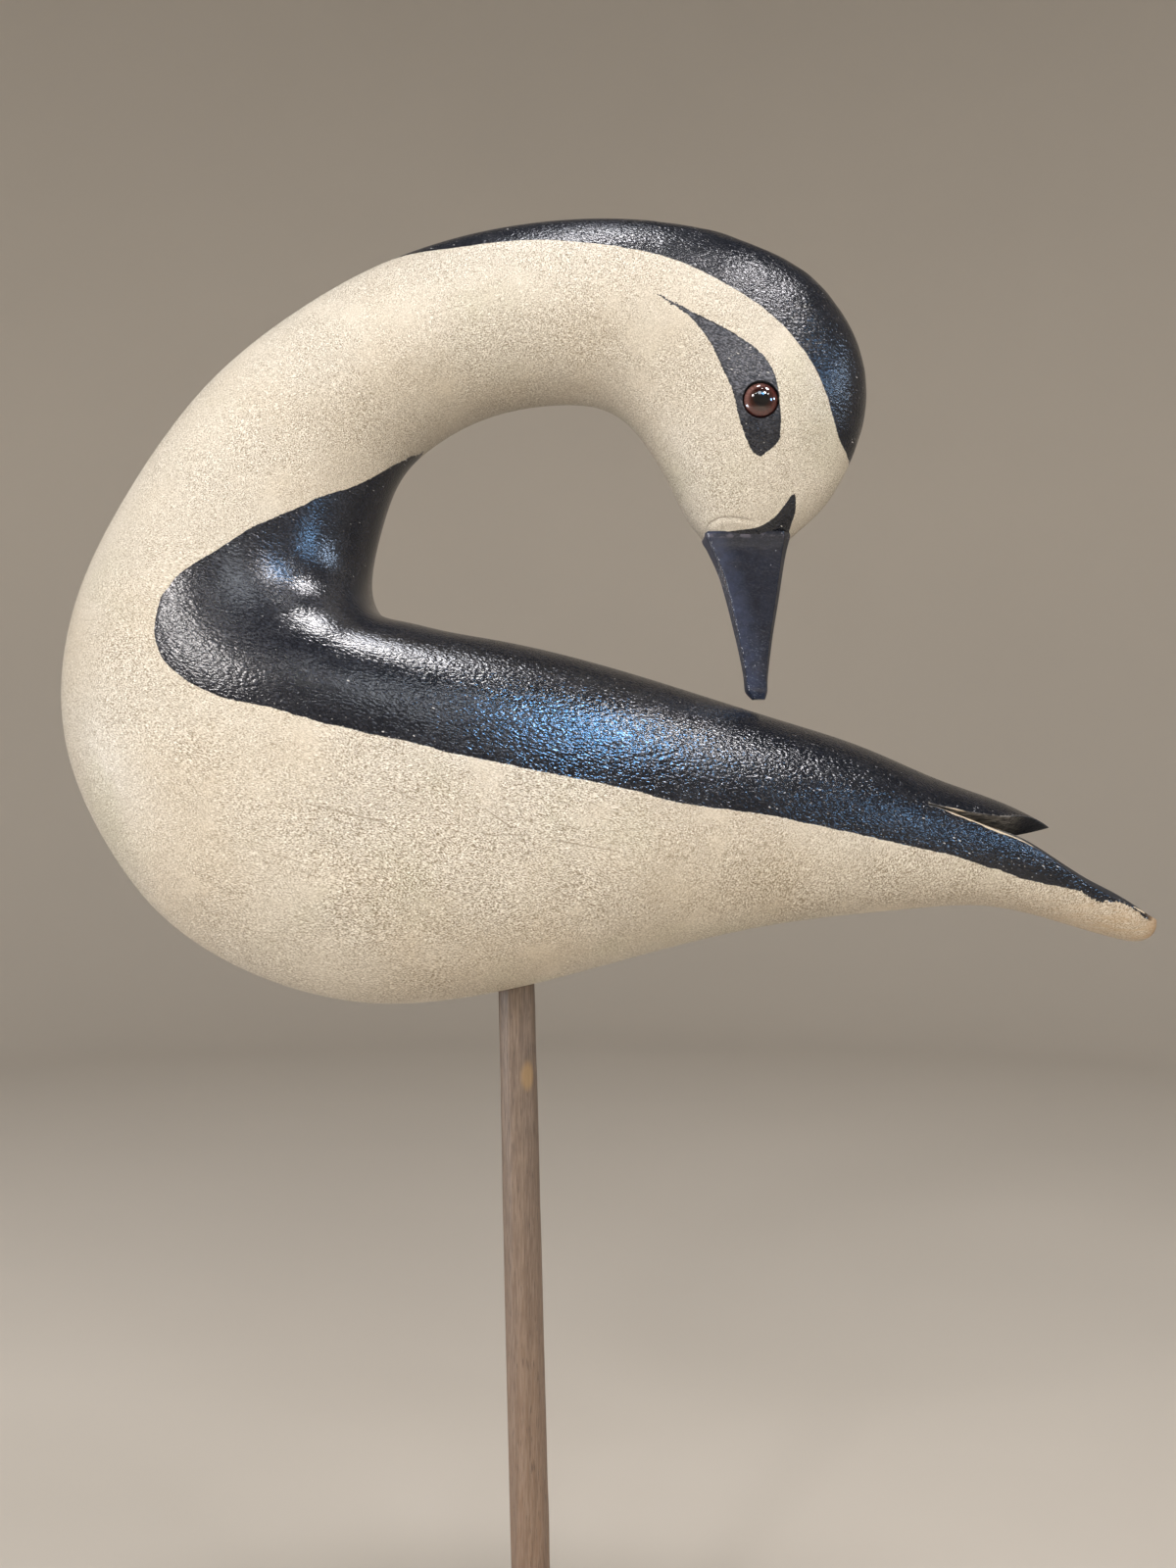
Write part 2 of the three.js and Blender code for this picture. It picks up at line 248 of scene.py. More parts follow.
def bands(count: int, sides: int) -> Faces:
    """Four-cornered faces between each of count rings and the next."""
    row, col = np.meshgrid(np.arange(count - 1), np.arange(sides), indexing="ij")
    a, b = row * sides + col, row * sides + (col + 1) % sides
    return np.stack([a, b, b + sides, a + sides], -1).reshape(-1, 4)


def fan(hub: int, first: int, sides: int) -> Faces:
    """Triangles from a hub's number to each side of the ring that starts at a number."""
    turn = np.arange(sides)
    return np.stack([np.full(sides, hub), first + turn, first + (turn + 1) % sides], -1)


def loft(name: str, rings: FloatArray) -> Piece:
    """Joins each ring to the next and closes both ends with a fan from the ring's middle.

    Args:
        name: The piece's name.
        rings: Rings by points by (x, y, z), in millimetres.

    Returns:
        A closed object whose faces point outwards.
    """
    count, sides, _ = rings.shape
    verts = np.concatenate([rings.reshape(-1, 3), rings[[0, -1]].mean(1)])
    quads = bands(count, sides)
    low = fan(count * sides, 0, sides)[:, [0, 2, 1]]
    tris = np.concatenate([low, fan(count * sides + 1, (count - 1) * sides, sides)])
    corner = verts[np.concatenate([quads[:, [0, 1, 2]], quads[:, [0, 2, 3]], tris])]
    volume = np.einsum("ij,ij->i", corner[:, 0], np.cross(corner[:, 1], corner[:, 2])).sum()
    if volume < 0:
        quads, tris = quads[:, ::-1], tris[:, ::-1]
    return add_piece(name, verts * MM, quads, tris)


def block_over(name: str, floor: FloatArray, top: float) -> Piece:
    """Fills the space from a curved under face up to a flat top: each row and its lid are a ring.

    Args:
        name: The object's name.
        floor: Under face, rows by columns by (x, y, z), in millimetres.
        top: Height of the flat top.

    Returns:
        A closed object.
    """
    lid = floor.copy()
    lid[..., 2] = top
    return loft(name, np.concatenate([floor, lid[:, ::-1]], axis=1))


def carve(piece: Piece, cutters: Sequence[Piece]) -> None:
    """Takes the cutters out of a piece for good, and deletes them.

    Args:
        piece: The piece to cut.
        cutters: Closed objects.
    """
    for cutter in cutters:
        cut = piece.modifiers.new(cutter.name, "BOOLEAN")
        cut.operation = "DIFFERENCE"
        cut.solver = "MANIFOLD"
        cut.object = cutter
    graph = bpy.context.evaluated_depsgraph_get()
    whole = bpy.data.meshes.new_from_object(piece.evaluated_get(graph))
    old = piece.data
    piece.modifiers.clear()
    whole.name = old.name
    piece.data = whole
    bpy.data.meshes.remove(old)
    for cutter in cutters:
        bpy.data.objects.remove(cutter)


def soften(piece: Piece, crease_deg: float = 180.0) -> Piece:
    """Shades a piece smooth, with a crisp edge where two faces meet at more than an angle.

    Args:
        piece: The piece to shade.
        crease_deg: That angle.

    Returns:
        The same piece.
    """
    mesh = piece.data
    mesh.polygons.foreach_set("use_smooth", np.ones(len(mesh.polygons), bool))
    mesh.set_sharp_from_angle(angle=math.radians(crease_deg))
    mesh.update()
    return piece


def places(piece: Piece) -> FloatArray:
    """The piece's vertices in millimetres, as rows of x, y, z."""
    flat = np.empty(len(piece.data.vertices) * 3, np.float32)
    piece.data.vertices.foreach_get("co", flat)
    return flat.reshape(-1, 3).astype(float) / MM


def record(piece: Piece, name: str, values: FloatArray) -> None:
    """Keeps one number for each vertex under a name that the paint reads.

    Args:
        piece: The piece.
        name: The name.
        values: The numbers.
    """
    kept = piece.data.attributes
    layer = kept.get(name) or kept.new(name, "FLOAT", "POINT")
    layer.data.foreach_set("value", values.astype(np.float32))


def recorded(piece: Piece, name: str) -> FloatArray:
    """The numbers kept under a name, one for each vertex."""
    values = np.empty(len(piece.data.vertices), np.float32)
    piece.data.attributes[name].data.foreach_get("value", values)
    return values.astype(float)


def turned(profile: FloatArray, sides: int, axis: Vector, foot: Vector) -> FloatArray:
    """Turns a profile of (radius, height) rows round an axis.

    A point is foot + axis * height + radius * (side * cos(angle) + front * sin(angle)).

    Args:
        profile: Radius and height of each ring, in millimetres.
        sides: Points round each ring.
        axis: Direction of the axis, of length 1.
        foot: Where height is 0.

    Returns:
        Rings by points by (x, y, z).
    """
    side = axis.orthogonal().normalized()
    front = axis.cross(side)
    angle = np.linspace(0, 2 * np.pi, sides, endpoint=False)[:, None]
    round_it = np.cos(angle) * np.array(side) + np.sin(angle) * np.array(front)
    radius, height = profile[:, 0, None, None], profile[:, 1, None, None]
    return np.array(foot) + height * np.array(axis) + radius * round_it[None]


# Node trees


def sign(kind: str, swapped: bool = False) -> Callable[["Wire", Input], "Wire"]:
    """The method for one of Python's signs, as a Math node of this kind.

    Args:
        kind: The node's operation.
        swapped: Whether the wire is the second of the two values.

    Returns:
        A method from a wire and another value to the result.
    """

    def result(wire: "Wire", other: Input) -> "Wire":
        """The node's result."""
        return wire.graph.math(kind, *((other, wire) if swapped else (wire, other)))

    return result


class Wire:
    """A node's output, on which Python's signs work as they do on numbers."""

    __add__ = __radd__ = sign("ADD")
    __mul__ = __rmul__ = sign("MULTIPLY")
    __sub__ = sign("SUBTRACT")
    __rsub__ = sign("SUBTRACT", True)
    __truediv__ = sign("DIVIDE")
    __rtruediv__ = sign("DIVIDE", True)

    def __init__(self, graph: "Graph", socket: Socket) -> None:
        """Keeps the output and the graph that it is in."""
        self.graph = graph
        self.socket = socket

    def __abs__(self) -> "Wire":
        """Its size without a minus."""
        return self.graph.math("ABSOLUTE", self)

    def clamped(self) -> "Wire":
        """The same result, held between 0 and 1."""
        self.socket.node.use_clamp = True
        return self


class Graph:
    """Short calls that add nodes to one tree and join them."""

    def __init__(self, tree: bpy.types.NodeTree) -> None:
        """Starts on an empty tree."""
        self.tree = tree
        tree.nodes.clear()

    def node(self, kind: str, **settings: object) -> bpy.types.Node:
        """A new node with its settings."""
        made = self.tree.nodes.new(kind)
        for key, value in settings.items():
            setattr(made, key, value)
        return made

    def put(self, socket: Socket, value: Input) -> None:
        """Joins a socket to a wire, or sets its own value.

        Args:
            socket: The input to set.
            value: A wire or a constant. Three numbers do for a colour and one for a place.
        """
        if isinstance(value, Wire):
            self.tree.links.new(value.socket, socket)
        elif socket.type == "RGBA":
            socket.default_value = (*value, 1.0)
        elif socket.type == "VECTOR" and not isinstance(value, tuple):
            socket.default_value = (value,) * 3
        else:
            socket.default_value = value

    def fill(self, node: bpy.types.Node, **values: Input) -> bpy.types.Node:
        """Gives a node's inputs by name, with _ for a space in it."""
        for name, value in values.items():
            self.put(node.inputs[name.replace("_", " ")], value)
        return node

    def math(self, kind: str, *values: Input) -> Wire:
        """Adds a Math node, or a Vector Math node where one of the values is a place.

        Args:
            kind: The node's operation.
            values: What it works on, in the order of its inputs.

        Returns:
            Its result.
        """
        sockets = [v.socket.type for v in values if isinstance(v, Wire)]
        in_space = "VECTOR" in sockets or any(isinstance(v, tuple) for v in values)
        made = self.node("ShaderNodeVectorMath" if in_space else "ShaderNodeMath", operation=kind)
        for socket, value in zip(made.inputs, values):
            self.put(socket, value)
        is_number = kind in ("LENGTH", "DOT_PRODUCT") or not in_space
        return Wire(self, made.outputs["Value" if is_number else "Vector"])

    def least(self, first: Input, second: Input) -> Wire:
        """The smaller of two numbers."""
        return self.math("MINIMUM", first, second)

    def most(self, first: Input, *others: Input) -> Wire:
        """The greatest of some numbers."""
        for other in others:
            first = self.math("MAXIMUM", first, other)
        return first

    def split(self, a: Wire) -> tuple[Wire, Wire, Wire]:
        """A vector's x, y and z."""
        made = self.fill(self.node("ShaderNodeSeparateXYZ"), Vector=a)
        return tuple(Wire(self, s) for s in made.outputs)

    def join(self, x: Input, y: Input, z: Input) -> Wire:
        """A vector from x, y and z."""
        return Wire(self, self.fill(self.node("ShaderNodeCombineXYZ"), X=x, Y=y, Z=z).outputs[0])

    def noise(self, at: Wire, scale: Input, detail: float = 2.0, rough: float = 0.5) -> Wire:
        """Noise from 0 to 1."""
        made = self.node("ShaderNodeTexNoise")
        self.fill(made, Vector=at, Scale=scale, Detail=detail, Roughness=rough)
        return Wire(self, made.outputs["Fac"])

    def ramp(self, value: Input, low: Input, high: Input, start: Input = 0.0, end: Input = 1.0) -> Wire:
        """A soft step, 3 s^2 - 2 s^3, as the value goes from low to high.

        Args:
            value: The value.
            low: Where the step begins.
            high: Where it ends.
            start: The result at low and below.
            end: The result at high and above.

        Returns:
            The result.
        """
        made = self.node("ShaderNodeMapRange", interpolation_type="SMOOTHSTEP")
        for socket, given in zip(made.inputs, (value, low, high, start, end)):
            self.put(socket, given)
        return Wire(self, made.outputs[0])

    def fall(self, value: Input, low: Input, high: Input, start: Input = 1.0) -> Wire:
        """A soft step down to 0 as the value goes from low to high."""
        return self.ramp(value, low, high, start, 0.0)

    def mix(self, share: Input, first: Input, second: Input, kind: str = "RGBA") -> Wire:
        """A colour between two, or a number.

        Args:
            share: 0 for the first, 1 for the second.
            first: The first colour or number.
            second: The second.
            kind: RGBA for colours, VALUE for numbers.

        Returns:
            The mixed colour or number.
        """
        made = self.node("ShaderNodeMix", data_type="FLOAT" if kind == "VALUE" else kind)
        ends = [s for s in made.inputs if s.type == kind and s.name in ("A", "B")]
        for socket, value in zip([made.inputs[0], *ends], (share, first, second)):
            self.put(socket, value)
        return Wire(self, next(s for s in made.outputs if s.type == kind))

    def coats(self, colour: Input, *laid: tuple[Input, Input]) -> Wire:
        """Lays coats of (mask, colour) over a colour, one after another."""
        for mask, coat in laid:
            colour = self.mix(mask, colour, coat)
        return colour

    def attribute(self, name: str) -> Wire:
        """A number kept on the mesh."""
        return Wire(self, self.node("ShaderNodeAttribute", attribute_name=name).outputs["Fac"])

    def use(self, group: bpy.types.NodeTree, **values: Input) -> dict[str, Wire]:
        """Places a group, gives its inputs, and hands back its outputs by name."""
        made = self.fill(self.node("ShaderNodeGroup", node_tree=group), **values)
        return {s.name: Wire(self, s) for s in made.outputs}


class Finish(Graph):
    """A material's tree: a Principled shader on its output, and the place in millimetres."""

    def __init__(self, name: str) -> None:
        """Makes the material."""
        self.material = bpy.data.materials.new(name)
        self.material.use_nodes = True
        super().__init__(self.material.node_tree)
        self.shader = self.node("ShaderNodeBsdfPrincipled")
        self.fill(self.node("ShaderNodeOutputMaterial"), Surface=Wire(self, self.shader.outputs[0]))
        self.mm = Wire(self, self.node("ShaderNodeTexCoord").outputs["Object"]) * (1 / MM)
        self.x, self.y, self.z = self.split(self.mm)

    def bump(self, height: Wire, depth_mm: float) -> None:
        """Turns a height from 0 to 1 into slopes, depth_mm deep."""
        made = self.node("ShaderNodeBump")
        self.fill(made, Strength=1.0, Distance=depth_mm * MM, Height=height)
        self.fill(self.shader, Normal=Wire(self, made.outputs[0]))


class SocketKind(Enum):
    """What a group's socket of this name carries; all others carry a number."""

    Place = "NodeSocketVector"
    Colour = "NodeSocketColor"


class Group(Graph):
    """A node group that finishes share."""

    def __init__(self, name: str, takes: Sequence[str], gives: Sequence[str]) -> None:
        """Starts the group.

        Args:
            name: Its name.
            takes: Names of its inputs.
            gives: Names of its outputs.
        """
        super().__init__(bpy.data.node_groups.new(name, "ShaderNodeTree"))
        for way, labels in (("INPUT", takes), ("OUTPUT", gives)):
            for label in labels:
                special = SocketKind.__members__.get(label)
                kind = special.value if special else "NodeSocketFloat"
                self.tree.interface.new_socket(name=label, in_out=way, socket_type=kind)
        entry = self.node("NodeGroupInput")
        self.given = [Wire(self, entry.outputs[label]) for label in takes]

    def give(self, **values: Wire) -> bpy.types.NodeTree:
        """Joins the results to the outputs, and hands back the group."""
        self.fill(self.node("NodeGroupOutput"), **values)
        return self.tree


class Effects:
    """The node groups that several finishes share, each made once."""

    def __init__(self) -> None:
        """Makes every group."""
        self.strokes = self.make_strokes()
        self.flecks = self.make_flecks()
        self.black = self.make_black()
        self.grain = self.make_grain()

    @staticmethod
    def make_strokes() -> bpy.types.NodeTree:
        """Short strokes of a nearly dry brush: noise stretched along one way and cut at a level.

        The place is first pushed about by slow noise, so that the strokes bend with each other.

        Returns:
            A group from a place, the strokes' slope, length, closeness and cover to a mask of dark
            strokes and one of light flecks between them.
        """
        g = Group("brush_strokes", ("Place", "Slope", "Length", "Closeness", "Cover"), ("Mask", "Light"))
        place, slope, length, closeness, cover = g.given
        slow = g.fill(g.node("ShaderNodeTexNoise"), Vector=place, Scale=0.045, Detail=1.0)
        push = Wire(g, slow.outputs["Color"]) - (0.5, 0.5, 0.5)
        x, y, z = g.split(place + push * 7.0)
        fine = g.noise(g.join((x - z * slope) / length, y, z + x * slope), closeness, 2.0, 0.6)
        level = 0.66 - cover * 0.32
        edge = level - 0.07
        return g.give(Mask=g.ramp(fine, level, level + 0.1), Light=g.fall(fine, edge - 0.1, edge))

    @staticmethod
    def make_flecks() -> bpy.types.NodeTree:
        """Small round flecks: places nearer than a radius to scattered points, of which some are kept.

        Returns:
            A group from a place, size, spacing and share of points kept to a mask.
        """
        g = Group("flecks", ("Place", "Size", "Spacing", "Share"), ("Mask",))
        place, size, spacing, share = g.given
        bent = place + g.noise(place, 1.7, 1.0) * (0.35, 0.35, 0.35)
        cells = g.fill(g.node("ShaderNodeTexVoronoi"), Vector=bent, Scale=1.0 / spacing)
        shade = g.fill(g.node("ShaderNodeSeparateColor"), Color=Wire(g, cells.outputs["Color"]))
        kept = g.math("LESS_THAN", Wire(g, shade.outputs[0]), share)
        reach = size / spacing
        return g.give(Mask=g.fall(Wire(g, cells.outputs["Distance"]), reach * 0.55, reach) * kept)

    @staticmethod
    def make_black() -> bpy.types.NodeTree:
        """Old black paint over a fine grain: close pebbling with short ridges along the grain. Its
        blue-black colour is partly the paint's own and partly painted bluish sheen, and it is flecked with
        painted sparkle.

        Returns:
            A group from a place, the grain's slope, the pebbles' pitch and how grey and rough the paint
            is, with its painted glints, to a colour, a roughness and a height.
        """
        g = Group("black_paint", ("Place", "Slope", "Pitch", "Dull"), ("Colour", "Roughness", "Height"))
        place, slope, pitch, dullness_and_sheen = g.given
        x, y, z = g.split(place)
        across, along = z + x * slope, x - z * slope
        spot = g.join(along * 0.45, y, across)
        pebble = g.noise(spot, 1.0 / pitch, 1.0)
        speck = g.noise(g.join(along * 0.5, y, across), 2.1, 2.0, 0.6)
        dull_and_sheen = (dullness_and_sheen + (g.noise(spot, 0.16, 3.0, 0.6) - 0.5) * 0.22).clamped()
        # Grey specks where the paint is greyer: partly worn paint, partly painted glints of the sheen.
        grey_and_glint_specks = (dull_and_sheen * g.ramp(speck, 0.44, 0.64, 0.25, 2.2)).clamped()
        colour = g.coats(
            (0.0080, 0.0092, 0.0135),
            (grey_and_glint_specks, (0.135, 0.138, 0.160)),
            # Painted sparkle: light blue specks on the pebbles' tops.
            (g.ramp(pebble, 0.55, 0.75, 0.0, 0.35), (0.050, 0.056, 0.078)),
        )
        rough = (0.1 + g.noise(place, 0.045, 3.0, 0.55) * 0.08 + dull_and_sheen * 0.6).clamped()
        height = (pebble - 0.5) * g.ramp(dullness_and_sheen, 0.05, 0.20, 1.0, 0.65)
        return g.give(Colour=colour, Roughness=rough, Height=height)

    @staticmethod
    def make_grain() -> bpy.types.NodeTree:
        """Wood grain: bent bands across, fine fibres along, and dark pores.

        Returns:
            A group from a place whose z runs along the grain to a band, a fibre and a pore mask.
        """
        g = Group("wood_grain", ("Place", "Width", "Fineness", "Stretch"), ("Band", "Fibre", "Pore"))
        place, width, fineness, stretch = g.given
        x, y, z = g.split(place)
        long = g.join(x, y, z / stretch)
        sway = g.noise(long, 0.35 / width) * (width * 5.0)
        wave = g.math("FRACT", (x + sway) / width)
        early = g.ramp(wave, 0.0, 0.75) * g.fall(wave, 0.86, 1.0)
        fibre = g.noise(long, 1.0 / fineness, 3.0, 0.6)
        pore = g.ramp(g.noise(long, 1.6 / fineness, 1.0, 0.4), 0.62, 0.72)
        return g.give(Band=early, Fibre=fibre, Pore=pore)


# Carved bird


# Each row is one section of the bird: upper or inner edge x, z; lower or outer edge x, z;
# half width; how square the inner half is; where it is widest, as a share from the inner edge.
BIRD_SECTIONS: FloatArray = np.array([
    # tail
    [202.6, 287.7, 202.6, 287.7, 0.0, 2.1, 0.5],
    [202.0, 291.9, 201.3, 285.0, 5.3, 2.2, 0.5],
    [199.0, 297.6, 197.9, 282.8, 8.3, 2.2, 0.5],
    [191.4, 304.2, 189.4, 283.7, 11.5, 2.2, 0.5],
    [179.5, 312.5, 176.4, 287.4, 14.5, 2.2, 0.5],
    # folded wing tips and rump
    [152.2, 328.0, 145.9, 294.3, 21.5, 2.2, 0.5],
    [133.0, 334.9, 126.1, 293.6, 25.5, 2.2, 0.5],
    [107.5, 345.7, 100.5, 291.2, 31.0, 2.3, 0.5],
    [81.8, 354.1, 74.0, 287.6, 36.5, 2.45, 0.5],
    # back and belly
    [30.7, 369.9, 18.9, 274.0, 44.5, 2.7, 0.5],
    [-11.0, 380.1, -33.3, 263.3, 47.8, 2.9, 0.5],
    [-27.1, 382.9, -57.2, 263.4, 48.4, 3.0, 0.5],
    [-38.3, 385.5, -80.9, 269.0, 48.5, 3.0, 0.5],
    # shoulders and breast, fanned round the tight corner where the neck leaves the back
    [-45.8, 387.1, -102.4, 278.8, 48.3, 3.0, 0.5],
    [-49.2, 388.7, -120.2, 292.2, 47.6, 2.9, 0.5],
    [-51.1, 390.7, -134.1, 309.9, 46.5, 2.75, 0.51],
    [-52.9, 396.4, -149.7, 346.3, 43.0, 2.3, 0.56],
    # neck
    [-52.2, 405.5, -148.7, 384.8, 37.5, 2.0, 0.6],
    [-48.4, 421.0, -132.8, 423.5, 32.0, 2.0, 0.57],
    [-39.9, 438.1, -103.8, 464.1, 28.5, 2.0, 0.52],
    [-29.8, 446.5, -80.9, 483.3, 27.5, 2.0, 0.5],
    [-18.0, 452.8, -54.9, 499.0, 26.8, 2.0, 0.5],
    [6.7, 458.1, 2.1, 515.4, 26.0, 2.0, 0.5],
    # head, down to the flat that the bill is set on
    [27.7, 454.2, 57.3, 513.0, 25.5, 2.0, 0.5],
    [39.7, 440.2, 95.4, 493.4, 24.3, 2.0, 0.5],
    [46.6, 427.5, 108.5, 462.6, 22.0, 2.0, 0.5],
    [51.7, 418.5, 102.5, 436.8, 16.8, 2.2, 0.5],
    [54.0, 415.6, 94.7, 424.1, 13.6, 2.6, 0.5],
    [55.4, 413.9, 83.2, 413.3, 10.5, 3.2, 0.5],
])

# The tail's upper face: run along X from the slit's inner end, height on the middle line, how
# far the face has dropped at its edge, half width.
TAIL_FACE: FloatArray = np.array([
    [0.0, 327.3, 0.2, 26.0], [10.7, 323.6, 0.4, 23.5], [19.6, 320.6, 0.9, 21.5], [29.4, 317.4, 1.6, 19.5],
    [41.8, 310.3, 2.1, 17.0], [53.8, 303.0, 2.3, 14.2], [62.3, 298.7, 1.9, 12.0], [68.6, 294.9, 1.0, 10.2],
    [74.5, 291.0, 0.3, 8.0], [90.0, 281.5, 0.2, 8.0],
])

# Slope of the wing tips' under faces, up from the keel, by share of the slit's length.
KEEL_SLOPE: FloatArray = np.array([
    [0.0, 0.552], [0.2, 0.51], [0.4, 0.48], [0.58, 0.47], [0.66, 0.55], [0.82, 0.70], [1.0, 0.80],
])

# Spacing of the skin's rings by distance along the bird, closest at the head.
RING_SPACING: FloatArray = np.array([
    [0.0, 1.1], [60.0, 1.4], [140.0, 1.9], [400.0, 1.8],
    [480.0, 1.2], [540.0, 0.95], [610.0, 0.85], [646.0, 0.45],
])

# Lower edge of the black back in side elevation, from the neck's inner side, round the
# shoulder and along the flank to the tail's end.
WING_EDGE = (
    (-18.0, 447.0), (-26.0, 446.3), (-33.3, 443.5), (-39.1, 439.7), (-44.8, 435.6), (-50.4, 431.2),
    (-56.6, 427.0), (-65.3, 423.2), (-71.2, 419.6), (-78.5, 415.8), (-85.6, 412.0), (-95.5, 404.9),
    (-103.8, 399.5), (-109.3, 393.5), (-112.0, 387.3), (-112.6, 380.5), (-111.9, 376.2),
    (-109.2, 371.2), (-104.6, 366.7), (-99.0, 363.1), (-91.6, 359.9), (-81.1, 357.5),
    (-75.2, 356.3), (-69.3, 354.4), (-57.6, 351.3), (-46.6, 348.7), (-33.8, 346.1), (-19.9, 342.6),
    (6.2, 337.2), (17.9, 334.9), (23.8, 333.8), (35.5, 330.9), (41.4, 329.1), (53.2, 327.0),
    (71.3, 324.8), (83.4, 322.2), (102.0, 318.3), (120.9, 313.9), (127.3, 312.7), (133.7, 311.0),
    (140.2, 308.7), (146.7, 306.9), (153.3, 304.5), (159.9, 302.8), (173.1, 300.2), (175.6, 298.7),
    (178.5, 297.3), (180.5, 296.3), (182.9, 296.6), (186.5, 296.2), (189.6, 295.4), (192.9, 293.6),
    (195.6, 291.6), (197.8, 290.0), (199.5, 290.6), (200.9, 294.0), (202.0, 300.0),
)
WING_CLOSING = ((215.0, 300.0), (140.0, 352.0), (60.0, 386.0), (10.0, 402.0), (-5.0, 440.0))

# The cap's half width over the ridge of neck and head, by distance along the bird.
CAP_EDGE = (
    (470.0, -6.0), (472.0, 0.0), (477.0, 8.0), (485.0, 15.8), (494.0, 21.3), (503.6, 23.4), (513.0, 25.0),
    (527.8, 28.3), (543.0, 31.0), (554.1, 33.2), (566.0, 35.6), (578.4, 35.9), (589.3, 34.8),
    (598.2, 32.4), (603.9, 30.2), (607.5, 28.3), (612.2, 25.4), (617.1, 21.0), (621.2, 15.9),
    (624.9, 8.4), (627.0, 0.0), (628.0, -6.0),
)

# Upper and lower edges of the dark stripe through the eye, in side elevation.
STRIPE_OVER = (
    (34.0, 486.9), (40.1, 485.6), (42.4, 484.4), (46.4, 482.5), (50.2, 480.5), (54.4, 478.6),
    (58.2, 476.7), (62.1, 474.8), (65.9, 472.4), (69.7, 469.9), (72.4, 467.3), (74.1, 465.1),
    (75.5, 462.8), (76.6, 459.6), (77.4, 455.7), (78.0, 449.6), (78.1, 445.1), (77.8, 441.6),
    (76.5, 440.0), (74.3, 438.2), (72.5, 436.9), (66.0, 431.0),
)
STRIPE_UNDER = (
    (34.0, 489.4), (40.1, 485.3), (42.4, 483.9), (46.0, 481.5), (49.5, 479.0), (52.5, 475.8),
    (54.8, 472.9), (56.9, 469.5), (58.5, 466.2), (60.0, 462.8), (61.8, 459.4), (63.4, 455.3),
    (64.5, 450.5), (65.8, 446.0), (67.7, 441.2), (69.3, 438.3), (71.1, 436.9), (73.0, 436.4),
    (80.0, 435.0),
)

# Black edge on the head round the bill's root, with its pointed spur, in side elevation.
ROOT_EDGE = (
    (50.0, 413.6), (55.3, 413.8), (58.8, 413.9), (60.3, 414.2), (62.6, 414.6), (66.8, 415.1), (71.0, 415.5),
    (73.9, 416.6), (76.3, 418.1), (78.0, 419.5), (79.7, 421.7), (81.1, 423.5), (82.1, 425.1),
    (83.1, 425.9), (83.7, 425.2), (84.0, 422.3), (83.9, 420.1), (83.0, 416.9), (82.6, 413.9), (82.4, 408.0),
)

# Fine groove over the bill's root, in side elevation, and how far the swelling under it lies below.
ROOT_GROOVE = (
    (55.5, 414.6), (55.8, 415.8), (56.7, 417.4), (58.8, 418.5), (61.3, 419.0), (65.5, 418.7),
    (69.0, 418.1), (72.1, 417.1),
)
SWELLING_DROP = 1.7

# Scratches on the near side, in side elevation: start x, z, end x, z.
SCRATCHES = (
    (-12.6, 326.6, -5.9, 321.7), (-13.5, 319.4, -9.7, 318.5), (-8.8, 318.8, 0.4, 318.8),
    (7.1, 317.3, 27.3, 313.7), (-65.2, 328.1, -41.5, 322.3),
)

# The painted areas in side elevation: the name that the paint reads, drawn edge, closing points.
PAINTED_AREAS = (
    ("wing_depth", WING_EDGE, WING_CLOSING),
    ("stripe_over", STRIPE_OVER, ((50.0, 400.0), (20.0, 440.0))),
    ("stripe_under", STRIPE_UNDER, ((110.0, 440.0), (110.0, 520.0), (34.0, 520.0))),
    ("root_depth", ROOT_EDGE, ((50.0, 405.0),)),
)


@dataclass(frozen=True)
class CreamFinish:
    """Colours of the cream paint, the marks in it, the bare wood at the worn tail, the painted shadow along
    the groove over the bill's root and the painted warm shade under the tail.
    """

    clear: Colour = (0.650, 0.590, 0.492)
    light: Colour = (0.935, 0.905, 0.825)
    stroke: Colour = (0.225, 0.175, 0.108)
    warm: Colour = (0.585, 0.490, 0.360)
    green: Colour = (0.545, 0.515, 0.385)
    # Painted warm shade under the tail.
    undertail_shade: Colour = (0.500, 0.375, 0.245)
    wood: Colour = (0.440, 0.290, 0.165)
    chip: Colour = (0.520, 0.510, 0.500)
    scraped: Colour = (0.300, 0.280, 0.250)
    # Painted shadow along the groove over the bill's root.
    groove_shade: Colour = (0.190, 0.150, 0.105)
    stroke_slope: float = math.tan(math.radians(14))
    hair_slope: float = 0.36
    eye_spot: Colour = (67.0, 0.0, 466.5)
    cap_spot: Colour = (84.5, 0.0, 481.5)


